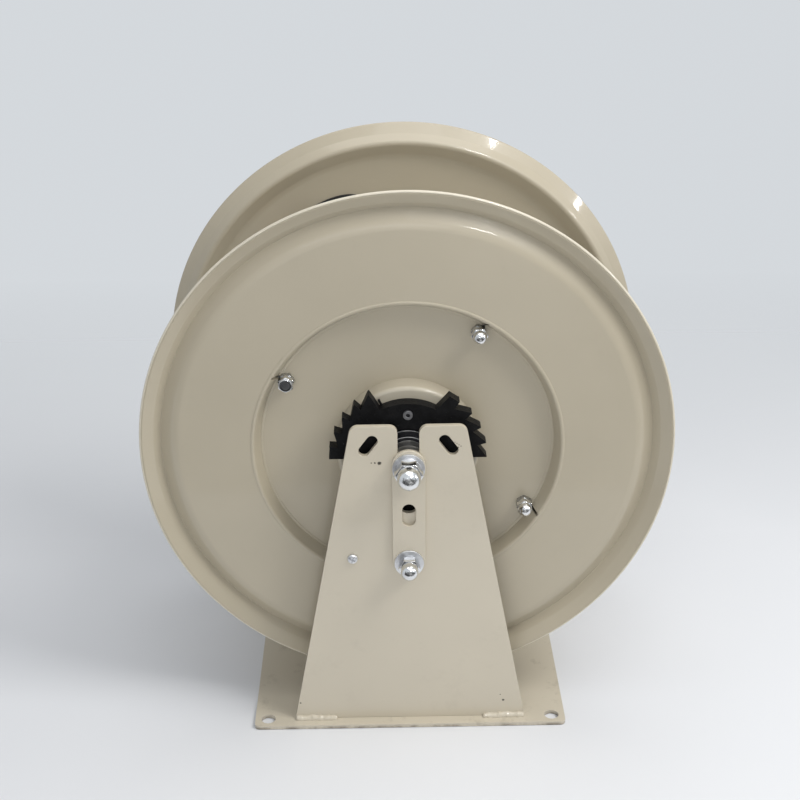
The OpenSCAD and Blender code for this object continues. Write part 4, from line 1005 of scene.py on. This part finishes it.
def makeUnionNut(s):
    nut = hexBlock("unionNut", s["nutFlats"], s["nutLong"], s["pipe"])
    return intoFeed(nut, "unionNut", (s["bossEnd"] + 1, s["y"], 0), quarterTurn("Z"))


def makeRearNut(s):
    nut = hexBlock("rearNut", s["nutFlats"], s["nutLong"], s["bore"])
    piece = copyTo(nut, "rearLockNut", (0, s["seatY"] * mm, axisZ), faceOut(0, True))
    drop(nut)
    return piece


def makeThread(s):
    # rings that stand for the thread on the spindle's rear end
    ridges = [(s["crest"] if step % 2 else s["root"], s["threadY"] + step * s["halfPitch"])
              for step in range(s["halfTurns"])]
    end = s["threadY"] + s["halfTurns"] * s["halfPitch"]
    outline = [(s["threadInner"], s["threadY"] - 0.3)] + ridges + [(s["threadInner"], end)]
    thread = lathe("inletThread", outline, 96, closed=True)
    smoothBy(thread, 20)
    return thread


dress(makeSwivel(water), brass, "drum", "swivel_body", slot="brass")
dress(makeRiser(water), drumPaint, "drum", "riser_pipe", slot="paint")
dress(makeStem(water), brass, "drum", "hose_stem", slot="brass")
dress(makeUnionNut(water), zinc, "drum", "union_nut", slot="zinc")
dress(makeRearNut(rearEnd), dullZinc, "frame", "rear_lock_nut", slot="zinc")
dress(makeThread(rearEnd), innerSteel, "frame", slot="shaft_steel")
print("water way made")


# node, piece, finish, body, slot and width of the broken edges
softened = [
    ("main_shaft", "mainShaft", shaftSteel, "frame", "shaft_steel", 0.4),
    ("strap_bolt", "strapBolt", zinc, "frame", "zinc", 0.25),
    ("pawl_screw", "pawlScrew", zinc, "frame", "zinc", 0.2),
    ("pawl_sleeve", "pawlSleeve", zinc, "frame", "zinc", 0.2),
    ("pawl_washer", "pawlWasher", zinc, "frame", "zinc", 0.2),
    ("pawl_nut", "pawlNut", zinc, "frame", "zinc", 0.2),
    ("spring_leg_pin", "springLegPin", zinc, "frame", "zinc", 0.3),
    ("ratchet_screws", "ratchetScrews", screwSteel, "drum", "shaft_steel", 0.25),
    ("rear_hub_screws", "rearHubScrews", screwBlack, "drum", "black_steel", 0.25),
    ("swivel_screws", "swivelScrews", screwBlack, "drum", "black_steel", 0.25),
]
socket = {"frontY": -136.9, "circle": 43.0, "radius": 2.1, "angles": (90, 210, 330)}


def inSocket(face):
    # the hexagon sockets in the ratchet screws' heads, painted black as painted shade in the recess
    spot = face.calc_center_median()
    axes = [polar(socket["circle"], angle) for angle in socket["angles"]]
    return spot.y > socket["frontY"] * mm and any(
        math.hypot(spot.x - axis.x, spot.z - axis.z) < socket["radius"] * mm for axis in axes)


for node, name, finish, body, slot, width in softened:
    piece = softCopy(node, name, width)
    dress(piece, finish, body, node, slot=slot)
    if node == "ratchet_screws":
        # the sockets take the black finish: painted shade
        paintFaces(piece, screwBlack, inSocket)
print("small solids softened")


# finishes on the solids that stay, by slot or by node
keptFinishes = {"paint": drumPaint, "zinc": zinc, "shaft_steel": innerSteel, "black_steel": screwBlack,
                "brass": brass, "rubber": rubber, "hub_paint": hubPaint}
special = {"main_shaft": shaftSteel, "tie_rods": screwSteel, "power_spring": springSteel,
           "pawl_spring": springSteel, "spring_cover": dullZinc, "spring_case": dullZinc}
for part in frame["record"]["subparts"]:
    node = part["node"]
    finish = special.get(node, keptFinishes[part["material_slot"]])
    mesh = cadNodes[node].data
    if len(mesh.materials):
        for index in range(len(mesh.materials)):
            mesh.materials[index] = finish
    else:
        mesh.materials.append(finish)
print("kept solids finished")
